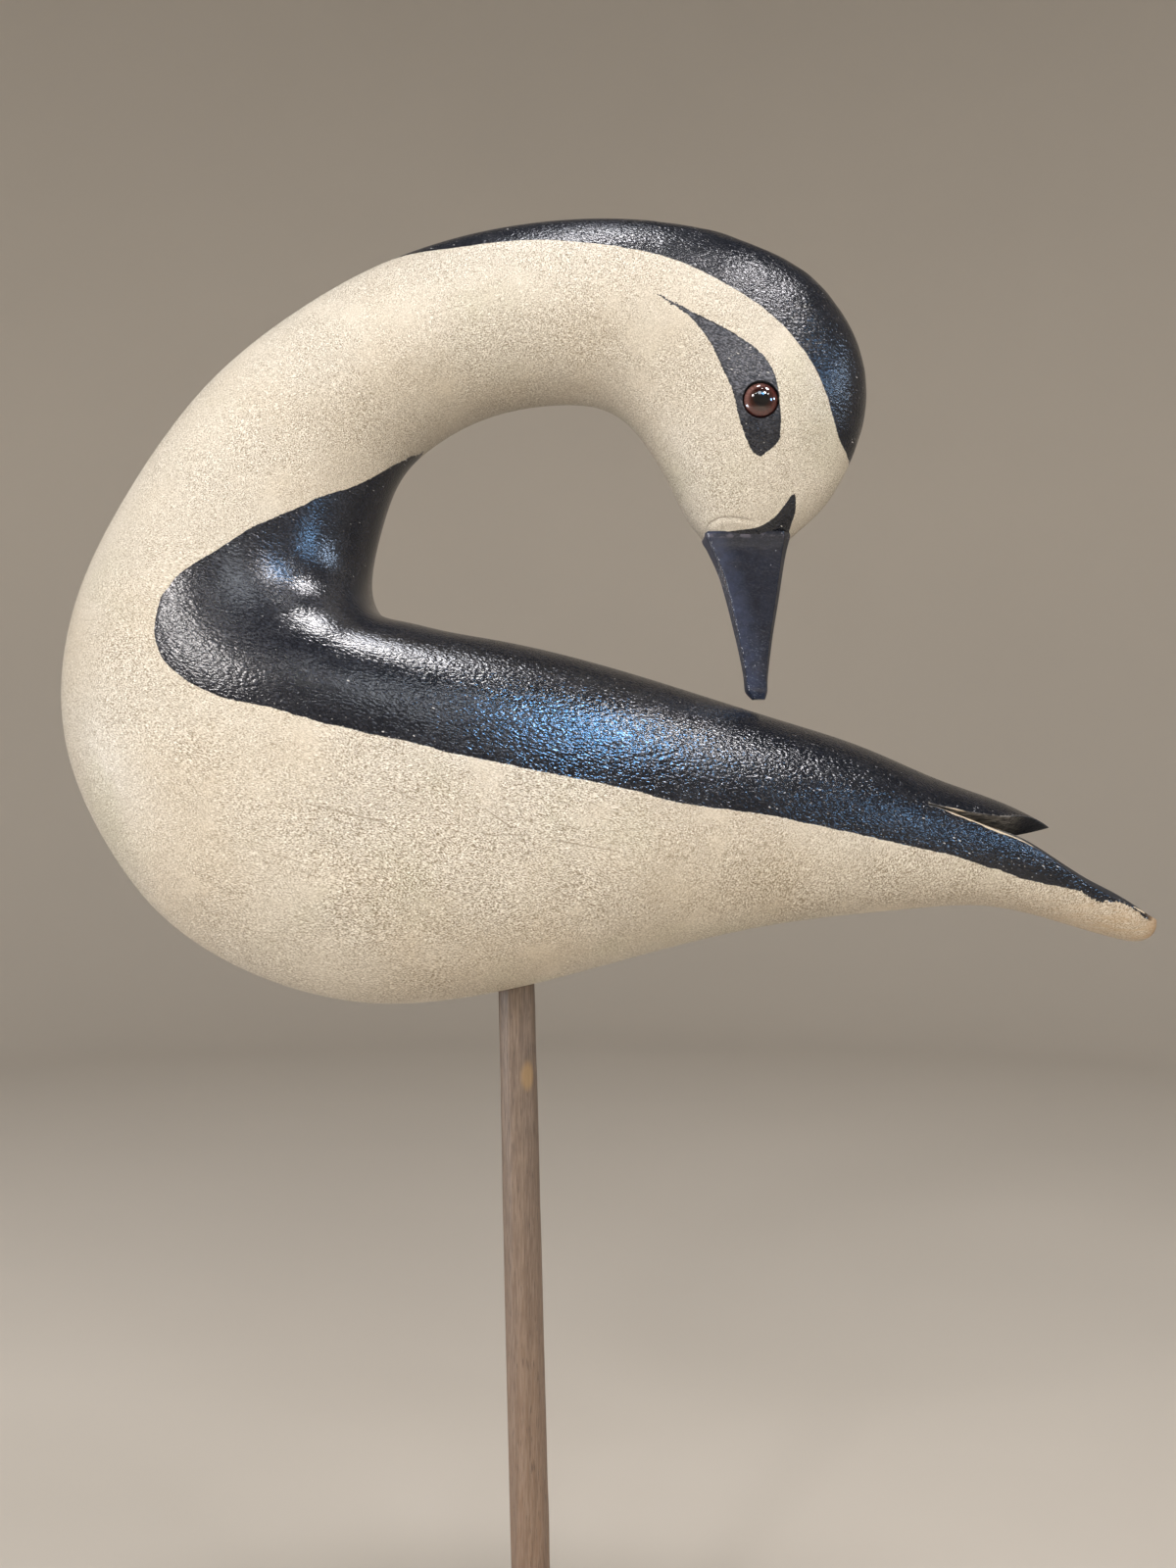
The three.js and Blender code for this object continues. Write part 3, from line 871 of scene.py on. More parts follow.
@dataclass
class CarvedBird:
    """The bird, carved in one block with a split tail, and its paint."""

    sides: int = 184
    lower_squareness: float = 2.2
    ripple_depth: float = 0.16
    ripple_wave: float = 26.0
    swelling: float = 0.34
    groove: float = 0.22
    end_rounding: float = 0.3
    stick_gap: float = 0.3
    eye_seat_depth: float = 2.8
    slit_x: float = 125.5
    slit_run: float = 88.0
    slit_back: float = 1.5
    tongue_back: float = 8.0
    cutter_top: float = 380.0
    round_from: float = 0.45
    tip_x: float = 168.3
    tip_half_width: float = 24.0
    tip_taper: float = 2.0
    keel_z: float = 315.3
    keel_rise: float = 4.3
    far: float = 30.0
    cap_offset: float = 100.0
    finish: CreamFinish = CreamFinish()

    def ring_travel(self, knots: FloatArray) -> FloatArray:
        """Where the skin's rings lie, so that their spacing follows RING_SPACING.

        Args:
            knots: Distance along the bird of each section row.

        Returns:
            Rising distances from 0 to the last knot.
        """
        fine = np.linspace(0, knots[-1], 4000)
        rate = 1 / np.interp(fine, RING_SPACING[:, 0], RING_SPACING[:, 1])
        count = np.concatenate([[0], np.cumsum((rate[1:] + rate[:-1]) / 2 * np.diff(fine))])
        return np.interp(np.linspace(0, count[-1], int(count[-1])), count, fine)

    def skin_rings(self) -> tuple[FloatArray, FloatArray]:
        """Sweeps superellipse sections between the two edges.

        At an angle round a ring, along is cos(angle) and across sin(angle), each to the power
        2 / squareness with its sign kept. Along moves from the widest place towards one edge or
        the other, and across times the half width is y.

        Returns:
            Rings in millimetres, and for every point the distance along the bird and the way round
            from the outer edge.
        """
        inner, outer = BIRD_SECTIONS[:, 0:2], BIRD_SECTIONS[:, 2:4]
        steps = [np.linalg.norm(np.diff(edge, axis=0), axis=1) for edge in (inner, outer)]
        knots = np.concatenate([[0], np.cumsum((steps[0] + steps[1]) / 2)])
        travel = self.ring_travel(knots)
        rows = natural_cubic(knots, BIRD_SECTIONS, travel)[:, None]
        inner, outer = rows[..., 0:2], rows[..., 2:4]
        half_width, squareness, widest = np.moveaxis(rows[..., 4:], -1, 0)
        angle = np.linspace(0, 2 * np.pi, self.sides, endpoint=False)[None]
        cos, sin = np.cos(angle), np.sin(angle)
        inward = smoothstep((1 + cos) / 2, 0, 1)
        power = 2 / (self.lower_squareness + (squareness - self.lower_squareness) * inward)
        along = np.sign(cos) * np.abs(cos) ** power
        across = np.sign(sin) * np.abs(sin) ** power
        share = widest - along * np.where(along > 0, widest, 1 - widest)
        plane = inner + (outer - inner) * share[..., None]
        rings = np.stack([plane[..., 0], np.maximum(half_width, 0.02) * across, plane[..., 1]], -1)
        rings = self.round_root(rings, knots[-1] - travel)
        step = np.linalg.norm(np.roll(rings, -1, axis=1) - rings, axis=2)
        way = np.cumsum(step, axis=1) - step
        whole = step.sum(1, keepdims=True)
        girth = whole / 2 - np.minimum(way, whole - way)
        return rings, np.stack([np.broadcast_to(travel[:, None], girth.shape), girth], -1)

    def round_root(self, rings: FloatArray, left: FloatArray) -> FloatArray:
        """Draws the last rings in along a quarter circle, so that the head's flat has a soft rim.

        Args:
            rings: The swept rings.
            left: How far each is from the flat.

        Returns:
            The rings, drawn in.
        """
        share = np.clip(left / self.end_rounding, 0, 1)
        inset = self.end_rounding * (1 - np.sqrt(1 - (1 - share) ** 2))
        middle = rings.mean(1, keepdims=True)
        size = np.linalg.norm(rings - middle, axis=2).mean(1)
        return middle + (rings - middle) * (1 - inset / np.maximum(size, 1))[:, None, None]

    def carve_by_hand(self, rings: FloatArray) -> FloatArray:
        """Adds the knife's unevenness and the groove over the bill's root, along the skin's normals.

        The groove and the swelling under it are bell curves of the distance to their lines. The
        knife leaves the tail's end and the head's flat alone.

        Args:
            rings: The swept skin.

        Returns:
            The skin with its relief.
        """
        around = np.roll(rings, -1, axis=1) - np.roll(rings, 1, axis=1)
        normal = np.cross(np.gradient(rings, axis=0), around)
        outward = np.sign((normal * (rings - rings.mean(1, keepdims=True))).sum(-1, keepdims=True))
        normal *= outward / np.maximum(np.linalg.norm(normal, axis=-1, keepdims=True), TINY)
        flat = rings.reshape(-1, 3)
        x, y, z = flat.T
        height = hand_ripple(flat, self.ripple_depth, self.ripple_wave, seed=7)
        height += hand_ripple(flat, self.ripple_depth * 0.35, self.ripple_wave * 0.35, seed=19)
        near_end = smoothstep(x, 190, 203) + smoothstep(-z * (x > 40), -419, -414)
        height *= 1 - np.clip(near_end, 0, 1)
        line = through(ROOT_GROOVE, 6)
        off_groove = gap_to_line(flat[:, [0, 2]], line)
        off_swelling = gap_to_line(flat[:, [0, 2]], line - np.array([0, SWELLING_DROP]))
        relief = self.swelling * np.exp(-((off_swelling / 1.2) ** 2))
        relief -= self.groove * np.exp(-((off_groove / 0.5) ** 2))
        height += relief * smoothstep(np.abs(y), 3, 7)
        return rings + normal * height.reshape(rings.shape[:2])[..., None]

    def tail_face(self, x: FloatArray, y: FloatArray) -> FloatArray:
        """Height of the tail's upper face: the middle's height less a drop towards its edges.

        The drop is the table's drop times the square of how far the share of the half width has
        gone from round_from to 1.

        Args:
            x: Places along the tail.
            y: Places across it.

        Returns:
            One height for each place.
        """
        run = np.maximum(x - self.slit_x, 0)
        rows = natural_cubic(TAIL_FACE[:, 0], TAIL_FACE, run.ravel()).reshape(*run.shape, 4)
        share = np.abs(y) / rows[..., 3]
        outward = np.clip((share - self.round_from) / (1 - self.round_from), 0, 1.15)
        return rows[..., 1] - rows[..., 2] * outward**2

    def slit_cutter(self) -> Piece:
        """The space over the tail and under the folded wing tips.

        Returns:
            A closed object: everything over the tail's upper face less the wing tips' tongue.
        """
        u, v = np.meshgrid(np.linspace(0, 1, 72), np.linspace(-1, 1, 64), indexing="ij")
        x, y = self.slit_x - self.slit_back + self.slit_run * u, 60 * v**3 * 0.5 + 30 * v
        over_tail = np.stack([x, y, self.tail_face(x, y)], -1)
        space = block_over("over_tail", over_tail, self.cutter_top)
        u, v = np.meshgrid(np.linspace(0, 1, 56), np.linspace(-1, 1, 41), indexing="ij")
        length = self.tip_x - self.slit_x
        x = self.slit_x - self.tongue_back + (length + self.tongue_back) * u
        along = np.clip((x - self.slit_x) / length, 0, 1)
        y = self.tip_half_width * np.maximum(1 - along**self.tip_taper, 1e-3) * v
        slope = np.interp(along, KEEL_SLOPE[:, 0], KEEL_SLOPE[:, 1])
        z = self.keel_z + self.keel_rise * along**3 + slope * (np.sqrt(y**2 + 0.5) - math.sqrt(0.5))
        carve(space, [block_over("wing_tips", np.stack([x, y, z], -1), self.cutter_top + 10)])
        return space

    def build(self, stick: "Stick", eyes: Sequence["GlassEye"]) -> Piece:
        """Makes the bird and keeps on it how deep each place lies in each painted area.

        Args:
            stick: The stick that its belly is bored for.
            eyes: The eyes that its head is bored for.

        Returns:
            The finished bird.
        """
        rings, road = self.skin_rings()
        bird = loft("carved_bird_painted", self.carve_by_hand(rings))
        road = np.concatenate([road.reshape(-1, 2), np.zeros((2, 2))])
        record(bird, "cap_depth", np.maximum(depth_in(road, CAP_EDGE, ()), -60) + self.cap_offset)
        seats = [eye.seat_cutter(self.eye_seat_depth) for eye in eyes]
        carve(bird, [self.slit_cutter(), stick.grown(self.stick_gap), *seats])
        soften(bird, 38)
        self.mark_paint(bird)
        return bird

    def mark_paint(self, bird: Piece) -> None:
        """Keeps on every vertex its depth in each painted area and its gap to the slit's edges.

        The cap's depth was kept before the cuts, with an offset that holds it above 0. The cutters
        carry none, so a vertex where it is 0 is on a cut face.

        Args:
            bird: The carved bird.
        """
        at = places(bird)
        side = at[:, [0, 2]]
        cap = recorded(bird, "cap_depth")
        record(bird, "cap_depth", np.where(cap > 1, cap - self.cap_offset, -20.0))
        record(bird, "cut_face", (cap < 1) & (at[:, 0] > self.slit_x - 4))
        for name, edge, closing in PAINTED_AREAS:
            record(bird, name, depth_in(side, edge, closing))
        line = through(ROOT_GROOVE, 6)
        rise = side[:, 1] - np.interp(side[:, 0], line[:, 0], line[:, 1])
        beside = (side[:, 0] < line[0, 0]) | (side[:, 0] > line[-1, 0]) | (side[:, 1] > 430)
        record(bird, "groove_rise", np.where(beside, self.far, rise))
        record(bird, "arris_gap", self.arris_gap(bird, at))

    def arris_gap(self, bird: Piece, at: FloatArray) -> FloatArray:
        """Distance of every vertex near the tail to the nearest sharp edge of the slit.

        Args:
            bird: The carved bird.
            at: Its vertices in millimetres.

        Returns:
            One distance for each vertex, or far where it is a long way off.
        """
        mesh = bird.data
        ends = np.empty(len(mesh.edges) * 2, np.int32)
        mesh.edges.foreach_get("vertices", ends)
        sharp = np.empty(len(mesh.edges), bool)
        mesh.attributes["sharp_edge"].data.foreach_get("value", sharp)
        first, second = at[ends[0::2]], at[ends[1::2]]
        sharp &= np.minimum(first[:, 0], second[:, 0]) > self.slit_x - 4
        first, step = first[sharp], (second - first)[sharp]
        size = np.maximum((step**2).sum(1), TINY)
        gap = np.full(len(at), self.far)
        near = np.flatnonzero(at[:, 0] > self.slit_x - 12)
        for part in np.array_split(near, 16):
            reach = ((at[part, None] - first) * step).sum(-1) / size
            foot = first + np.clip(reach, 0, 1)[..., None] * step
            gap[part] = np.linalg.norm(at[part, None] - foot, axis=-1).min(1)
        return gap

    def paint(self, effects: Effects) -> bpy.types.Material:
        """Cream paint with a black back, cap, eye stripe and bill root, worn at the edges.

        Args:
            effects: The shared node groups.

        Returns:
            The material.
        """
        f, g = self.finish, Finish("cream_and_black_paint")
        mm, x, z = g.mm, g.x, g.z
        stripe = g.least(g.attribute("stripe_over"), g.attribute("stripe_under"))
        is_black = self.black_mask(g, stripe)
        cream, cream_height = self.cream(g, effects)
        # The black's greying, partly worn paint and partly painted sheen and glints, also roughens it.
        dull_and_sheen = self.dullness_and_sheen(g, stripe)
        black = g.use(effects.black, Place=mm, Slope=0.30, Pitch=0.66, Dull=dull_and_sheen)
        cut = g.attribute("cut_face")
        saw = g.ramp(g.noise(mm * (0.35, 0.9, 2.4), 0.9, 3.0, 0.65), 0.42, 0.62, 0.15, 1.0)
        worn = self.worn(g)
        black_colour = g.coats(
            black["Colour"],
            (self.chips(g, effects), f.chip),
            (cut * g.fall(x, 150, 160) * saw, f.scraped),
            (worn, f.warm),
        )
        tail_end = g.ramp(x + g.noise(mm, 0.35, 3.0) * 5.0, 198.5, 203.5)
        colour = g.coats(cream, (is_black, black_colour), (tail_end * 0.8, f.wood))
        handled = g.ramp(z, 395, 450, 0.0, 0.07) * is_black
        rough = g.mix(is_black, 0.46, black["Roughness"], "VALUE")
        rough = (rough + (worn * 0.25 + cut * 0.35 + handled)).clamped()
        relief = g.ramp(x, -60, 10, 0.9, 2.4) * g.ramp(z, 410, 450, 1.0, 0.9)
        height = g.mix(is_black, cream_height, black["Height"] * relief + 0.4, "VALUE")
        g.fill(g.shader, Base_Color=colour, Roughness=rough)
        g.bump(height - worn * 0.3, 0.12)
        return g.material

    def dullness_and_sheen(self, g: Finish, stripe: Wire) -> Wire:
        """How grey and rough the black is, with painted sheen and glints in the grey: most, in mottles and
        more towards its top, in the eye stripe; some on the shoulder.

        Args:
            g: The bird's finish.
            stripe: Depth in the eye stripe.

        Returns:
            A share from 0 to 1.
        """
        mottles = g.ramp(g.noise(g.mm, 0.5, 4.0, 0.7), 0.38, 0.62, 0.35, 1.4)
        # Painted sheen, partly worn paint: the stripe greyer towards its top.
        greyed = g.ramp(stripe, -0.4, 1.2) * mottles * g.ramp(g.z, 443, 464, 0.05, 0.8)
        # Painted glints, partly worn paint: a faint grey on the shoulder.
        shoulder = g.fall(g.x, -70, 20, 0.045) * g.ramp(g.z, 340, 390)
        return g.most(greyed, shoulder) + 0.02

    def black_mask(self, g: Finish, stripe: Wire) -> Wire:
        """1 where the wood is painted black, with edges that wander as a brush does.

        Args:
            g: The bird's finish.
            stripe: Depth in the eye stripe.

        Returns:
            The mask.
        """
        fine = g.noise(g.mm, 1.3, 2.0, 0.6) - 0.5
        wander = (g.noise(g.mm, 0.22) - 0.5) * 0.9 + fine * 0.55
        wing = g.attribute("wing_depth") + wander + fine * g.ramp(g.x, 168, 178) * 2.2
        cap = g.attribute("cap_depth") + wander * 0.7
        stripe = stripe + fine * (g.fall(g.x, 42, 52) * 1.6 + 0.9)
        root = g.attribute("root_depth") + fine * 0.35
        return g.ramp(g.most(wing, cap, stripe, root), -0.10, 0.10)

    def cream(self, g: Finish, effects: Effects) -> tuple[Wire, Wire]:
        """Cream paint: sloping strokes on the body, dots on neck and head, a painted warm shade under the
        tail and a painted shadow along the groove over the bill's root.

        Args:
            g: The bird's finish.
            effects: The shared node groups.

        Returns:
            The colour and the height.
        """
        f, mm, x, z = self.finish, g.mm, g.x, g.z
        body, dots, steep = (
            g.use(effects.strokes, Place=mm, Slope=slope, Length=length, Closeness=close, Cover=cover)
            for slope, length, close, cover in (
                (f.stroke_slope, 2.6, 3.7, 0.50), (0.0, 1.3, 3.5, 0.47), (-1.4, 1.5, 1.6, 0.55),
            )
        )
        on_neck = g.ramp(z, 388, 430)
        on_rump = g.ramp(x, 20, 60) * g.fall(z, 300, 345)
        smooth = g.ramp(g.noise(mm, 0.045, 5.0, 0.6), 0.55, 0.68, 1.0, 0.5)
        patchy = g.ramp(g.noise(mm, 0.03, 3.0, 0.55), 0.36, 0.6, 0.75, 1.1) * smooth
        strokes, light = (
            g.mix(on_neck, g.mix(on_rump, body[kind], steep[kind], "VALUE"), dots[kind], "VALUE") * patchy
            for kind in ("Mask", "Light")
        )
        greened = g.ramp(g.noise(mm + (90.0, 0.0, 40.0), 0.022, 3.0), 0.5, 0.7, 0.0, 0.55)
        # Painted shadow: a dark line along the groove over the bill's root, fainter towards its right end.
        groove_shade = g.fall(abs(g.attribute("groove_rise")), 0.12, 0.5, 0.6) * g.ramp(x, 66, 72, 1.0, 0.3)
        # Painted warm shade: browner on the tail's underside and towards its end, broken by grainy noise.
        under = g.ramp(x, 105, 190) * g.fall(z, 286, 306)
        grain = g.ramp(g.noise(mm * (0.12, 1.0, 0.8), 0.9, 3.0, 0.6), 0.3, 0.75, 0.35, 1.0)
        colour = g.coats(
            f.clear,
            (g.ramp(g.noise(mm, 0.018), 0.45, 0.7, 0.0, 0.45), f.warm),
            (greened, f.green),
            (light, f.light),
            (strokes * 0.9, f.stroke),
            (self.hairs(g), f.stroke),
            (groove_shade, f.groove_shade),
            (under * grain, f.undertail_shade),
        )
        return colour, 0.75 - strokes * 0.5

    def hairs(self, g: Finish) -> Wire:
        """Long fine brush hairs that slope down towards the tail, and a few scratches on one side.

        A scratch is the places near its line: the gap is the length of what is left of the way to
        its start once the part along the scratch, held between 0 and its length, is taken off.

        Args:
            g: The bird's finish.

        Returns:
            The mask.
        """
        slope = self.finish.hair_slope
        spot = g.join((g.x - g.z * slope) * 0.055, g.y, g.z + g.x * slope)
        mask = g.ramp(g.noise(spot, 1.5, 1.0), 0.70, 0.76, 0.0, 0.55)
        mask = mask * g.fall(g.z, 380, 400) * g.fall(g.x, 20, 60)
        flat = g.mm * (1.0, 0.0, 1.0)
        near = g.math("LESS_THAN", g.y, 0.0)
        for start_x, start_z, end_x, end_z in SCRATCHES:
            length = math.hypot(end_x - start_x, end_z - start_z)
            way = ((end_x - start_x) / length, 0.0, (end_z - start_z) / length)
            off = flat - (start_x, 0.0, start_z)
            reach = g.least(g.most(g.math("DOT_PRODUCT", off, way), 0.0), length)
            gap = g.math("LENGTH", off - reach * way)
            mask = g.most(mask, g.fall(gap, 0.08, 0.3, 0.6) * near)
        return mask

    def chips(self, g: Finish, effects: Effects) -> Wire:
        """Pale flecks in the black: on the rump before the slit, in the cap and in the eye stripe.

        Args:
            g: The bird's finish.
            effects: The shared node groups.

        Returns:
            The mask.
        """
        x, z, depth = g.x, g.z, g.attribute("wing_depth")
        rump = g.ramp(x, 60, 112) * g.fall(x, 158, 175) * g.ramp(depth, 0.6, 1.8)
        rump = rump * g.fall(depth, 5.0, 11.0) * g.ramp(g.noise(g.mm, 0.09), 0.42, 0.6, 0.25, 1.0)
        by_eye, by_cap = (
            g.math("LENGTH", (g.mm - spot) * (1.0, 0.0, 1.0))
            for spot in (self.finish.eye_spot, self.finish.cap_spot)
        )
        share = rump * 0.17 + (g.fall(by_eye, 3.0, 7.5, 0.55) + g.fall(by_cap, 2.5, 7.0, 0.40))
        share = share + g.fall(depth, 0.5, 5.0, 0.09) * g.ramp(x, -60, 0, 1.0, 0.3) + 0.006
        long = g.join((x - z * 0.4) * 0.5, 0.0, z + x * 0.4)
        big = g.use(effects.flecks, Place=long, Size=0.26, Spacing=1.2, Share=share)
        small = g.use(effects.flecks, Place=long, Size=0.15, Spacing=0.5, Share=share * 1.3)
        return g.most(big["Mask"], small["Mask"] * 0.6)

    def worn(self, g: Finish) -> Wire:
        """Paint rubbed off along the tail's upper edges, most in the slit and at the tail's end.

        Args:
            g: The bird's finish.

        Returns:
            The mask.
        """
        x, patch = g.x, g.noise(g.mm, 0.16, 3.0, 0.6)
        over_tail = g.z - (372.9 - x * 0.358)
        in_slit = g.ramp(x, 128, 134) * g.fall(x, 152, 160)
        at_end = g.ramp(x, 186, 194) * g.ramp(patch, 0.48, 0.56, 0.0, 0.6)
        much = g.most(in_slit, at_end) * g.fall(over_tail, 0.6, 1.4)
        reach = 0.08 + g.ramp(patch, 0.35, 0.6, 0.35, 1.0) * (much * 0.7)
        grit = (g.noise(g.mm, 1.6) - 0.5) * 0.5
        mask = g.fall(g.attribute("arris_gap") + grit, reach * 0.6, reach + 0.08)
        return mask * g.ramp(much, 0.05, 0.3)


# Bill


# The bill: left edge x, right edge x, z, half thickness, width of the left and of the right bevel.
BILL_SECTIONS: FloatArray = np.array([
    [55.6, 83.0, 414.8, 10.3, 0.7, 2.6],
    [55.6, 83.1, 413.8, 10.2, 0.7, 2.4],
    [56.6, 82.7, 411.8, 9.2, 0.6, 2.0],
    [57.9, 82.1, 409.2, 8.4, 0.5, 1.8],
    [59.4, 81.5, 406.0, 7.9, 0.5, 1.6],
    [63.1, 79.9, 395.0, 6.8, 0.4, 1.4],
    [65.9, 78.1, 383.5, 5.6, 0.4, 1.2],
    [68.2, 76.8, 372.8, 4.6, 0.4, 1.0],
    [69.1, 76.3, 366.0, 4.0, 0.5, 0.8],
    [69.6, 76.2, 363.6, 3.6, 0.6, 0.8],
    [71.6, 75.6, 361.4, 2.4, 0.6, 0.6],
])


@dataclass(frozen=True)
class BillFinish:
    """Colours over the bill's black paint: a painted bluish sheen, a painted highlight at the root,
    scratches and flecks.
    """

    # Painted bluish sheen over the face.
    band: Colour = (0.044, 0.056, 0.100)
    # Painted highlight across the root.
    root: Colour = (0.150, 0.140, 0.180)
    scratch: Colour = (0.150, 0.180, 0.245)
    fleck: Colour = (0.420, 0.450, 0.520)


@dataclass
class Bill:
    """The flat-sided black bill."""

    bevel_depth: float = 0.36
    crown: float = 0.4
    corner: float = 0.45
    rows: int = 150
    face_steps: int = 12
    ripple_depth: float = 0.07
    ripple_wave: float = 9.0
    finish: BillFinish = BillFinish()

    def rings(self) -> FloatArray:
        """Sections along the bill, each a bevelled bar with rounded corners.

        A corner is a quadratic curve from a point short of it on one side to one short of it on
        the next. The wide faces swell by the crown times 1 less the square of the place across.

        Returns:
            Rings by points by (x, y, z), in millimetres.
        """
        drop = BILL_SECTIONS[0, 2] - BILL_SECTIONS[:, 2]
        rows = natural_cubic(drop, BILL_SECTIONS, np.linspace(0, drop[-1], self.rows))
        left, right, height, thick, left_bevel, right_bevel = rows.T
        shoulder = thick * (1 - self.bevel_depth)
        near = [
            (left, -shoulder), (left + left_bevel, -thick),
            (right - right_bevel, -thick), (right, -shoulder),
        ]
        ring = np.stack([np.stack(c, -1) for c in near + [(px, -py) for px, py in near[::-1]]], 1)
        starts, stops = (
            ring + way * np.minimum(self.corner / np.linalg.norm(way, axis=2, keepdims=True), 0.4)
            for way in (np.roll(ring, shift, axis=1) - ring for shift in (1, -1))
        )
        nexts = np.roll(starts, -1, axis=1)[:, :, None]
        starts, stops, corners = starts[:, :, None], stops[:, :, None], ring[:, :, None]
        s = np.linspace(0, 1, 5)[:, None]
        bend = (1 - s) ** 2 * starts + 2 * s * (1 - s) * corners + s**2 * stops
        run = stops + (nexts - stops) * np.linspace(0, 1, self.face_steps + 1)[1:-1, None]
        x, y = np.moveaxis(np.concatenate([bend, run], axis=2).reshape(len(rows), -1, 2), -1, 0)
        middle, half = ((left + right) / 2)[:, None], ((right - left) / 2)[:, None]
        y = y + self.crown * np.clip(1 - ((x - middle) / half) ** 2, 0, 1) * np.sign(y)
        out = np.stack([x, y, np.broadcast_to(height[:, None], y.shape)], -1)
        ripple = hand_ripple(out.reshape(-1, 3), self.ripple_depth, self.ripple_wave, seed=31)
        return out + ripple.reshape(*y.shape, 1) * np.array([0.3, 1.0, 0.0])

    def build(self) -> Piece:
        """The bill, closed at root and tip, with every place's reach from the left edge's line.

        Returns:
            The finished bill.
        """
        piece = soften(loft("bill_painted", self.rings()), 50)
        at = places(piece)
        rising = BILL_SECTIONS[::-1]
        line = np.interp(at[:, 2], rising[:, 2], rising[:, 0] + rising[:, 4])
        record(piece, "edge_reach", at[:, 0] - line)
        return piece

    def paint(self, effects: Effects) -> bpy.types.Material:
        """Blue-black gloss paint: a rubbed left edge, a painted bluish sheen strongest beside it, a painted
        highlight band at the root, cross scratches at the tip.

        Args:
            effects: The shared node groups.

        Returns:
            The material.
        """
        f, g = self.finish, Finish("bill_black_paint")
        black = g.use(effects.black, Place=g.mm, Slope=0.2, Pitch=0.5, Dull=0.04)
        reach = g.attribute("edge_reach")
        cloud = g.noise(g.mm, 0.35, 3.0, 0.6)
        # Painted reflection: a bluish sheen over the face, strongest beside the left edge.
        band = g.ramp(reach, 0.5, 8.0, 1.0, 0.25) * g.ramp(cloud, 0.25, 0.75, 0.5, 1.0)
        # Painted highlight: a pale band across the root.
        root = g.fall(abs(g.z - 413.4), 0.2, 1.0, 0.5) * g.ramp(cloud, 0.45, 0.6)
        hatch = g.noise(g.join(g.x * 0.45, g.y, g.z + g.x * 0.25), 2.1, 3.0, 0.65)
        scratches = g.ramp(hatch, 0.56, 0.66) * g.ramp(g.z, 364, 396, 0.55, 0.03)
        spark = g.use(effects.flecks, Place=g.mm, Size=0.30, Spacing=0.62, Share=0.55)
        loose = g.use(effects.flecks, Place=g.mm, Size=0.22, Spacing=1.6, Share=0.07)
        pale = g.most(spark["Mask"] * g.fall(abs(reach), 0.15, 0.5), loose["Mask"] * 0.6)
        colour = g.coats(
            black["Colour"], (band, f.band), (root, f.root), (scratches, f.scratch), (pale, f.fleck)
        )
        rough = black["Roughness"] + g.ramp(reach, -0.3, 0.0, 0.4, -0.02)
        g.fill(g.shader, Base_Color=colour, Roughness=rough)
        g.bump(black["Height"], 0.06)
        return g.material


# Glass eyes


@dataclass(frozen=True)
class GlassFinish:
    """Colours of the eye's glass, with its painted lit and shaded sides and painted shade at its edge, and
    how rough it is under its gloss.
    """

    shaded: Colour = (0.080, 0.020, 0.016)
    lit: Colour = (0.215, 0.112, 0.098)
    spoke: Colour = (0.062, 0.020, 0.015)
    ring: Colour = (0.026, 0.006, 0.004)
    pupil: Colour = (0.002, 0.002, 0.003)
    # Painted shade round the dome's edge.
    rim: Colour = (0.020, 0.006, 0.005)
    rough: float = 0.12
    gloss_rough: float = 0.02


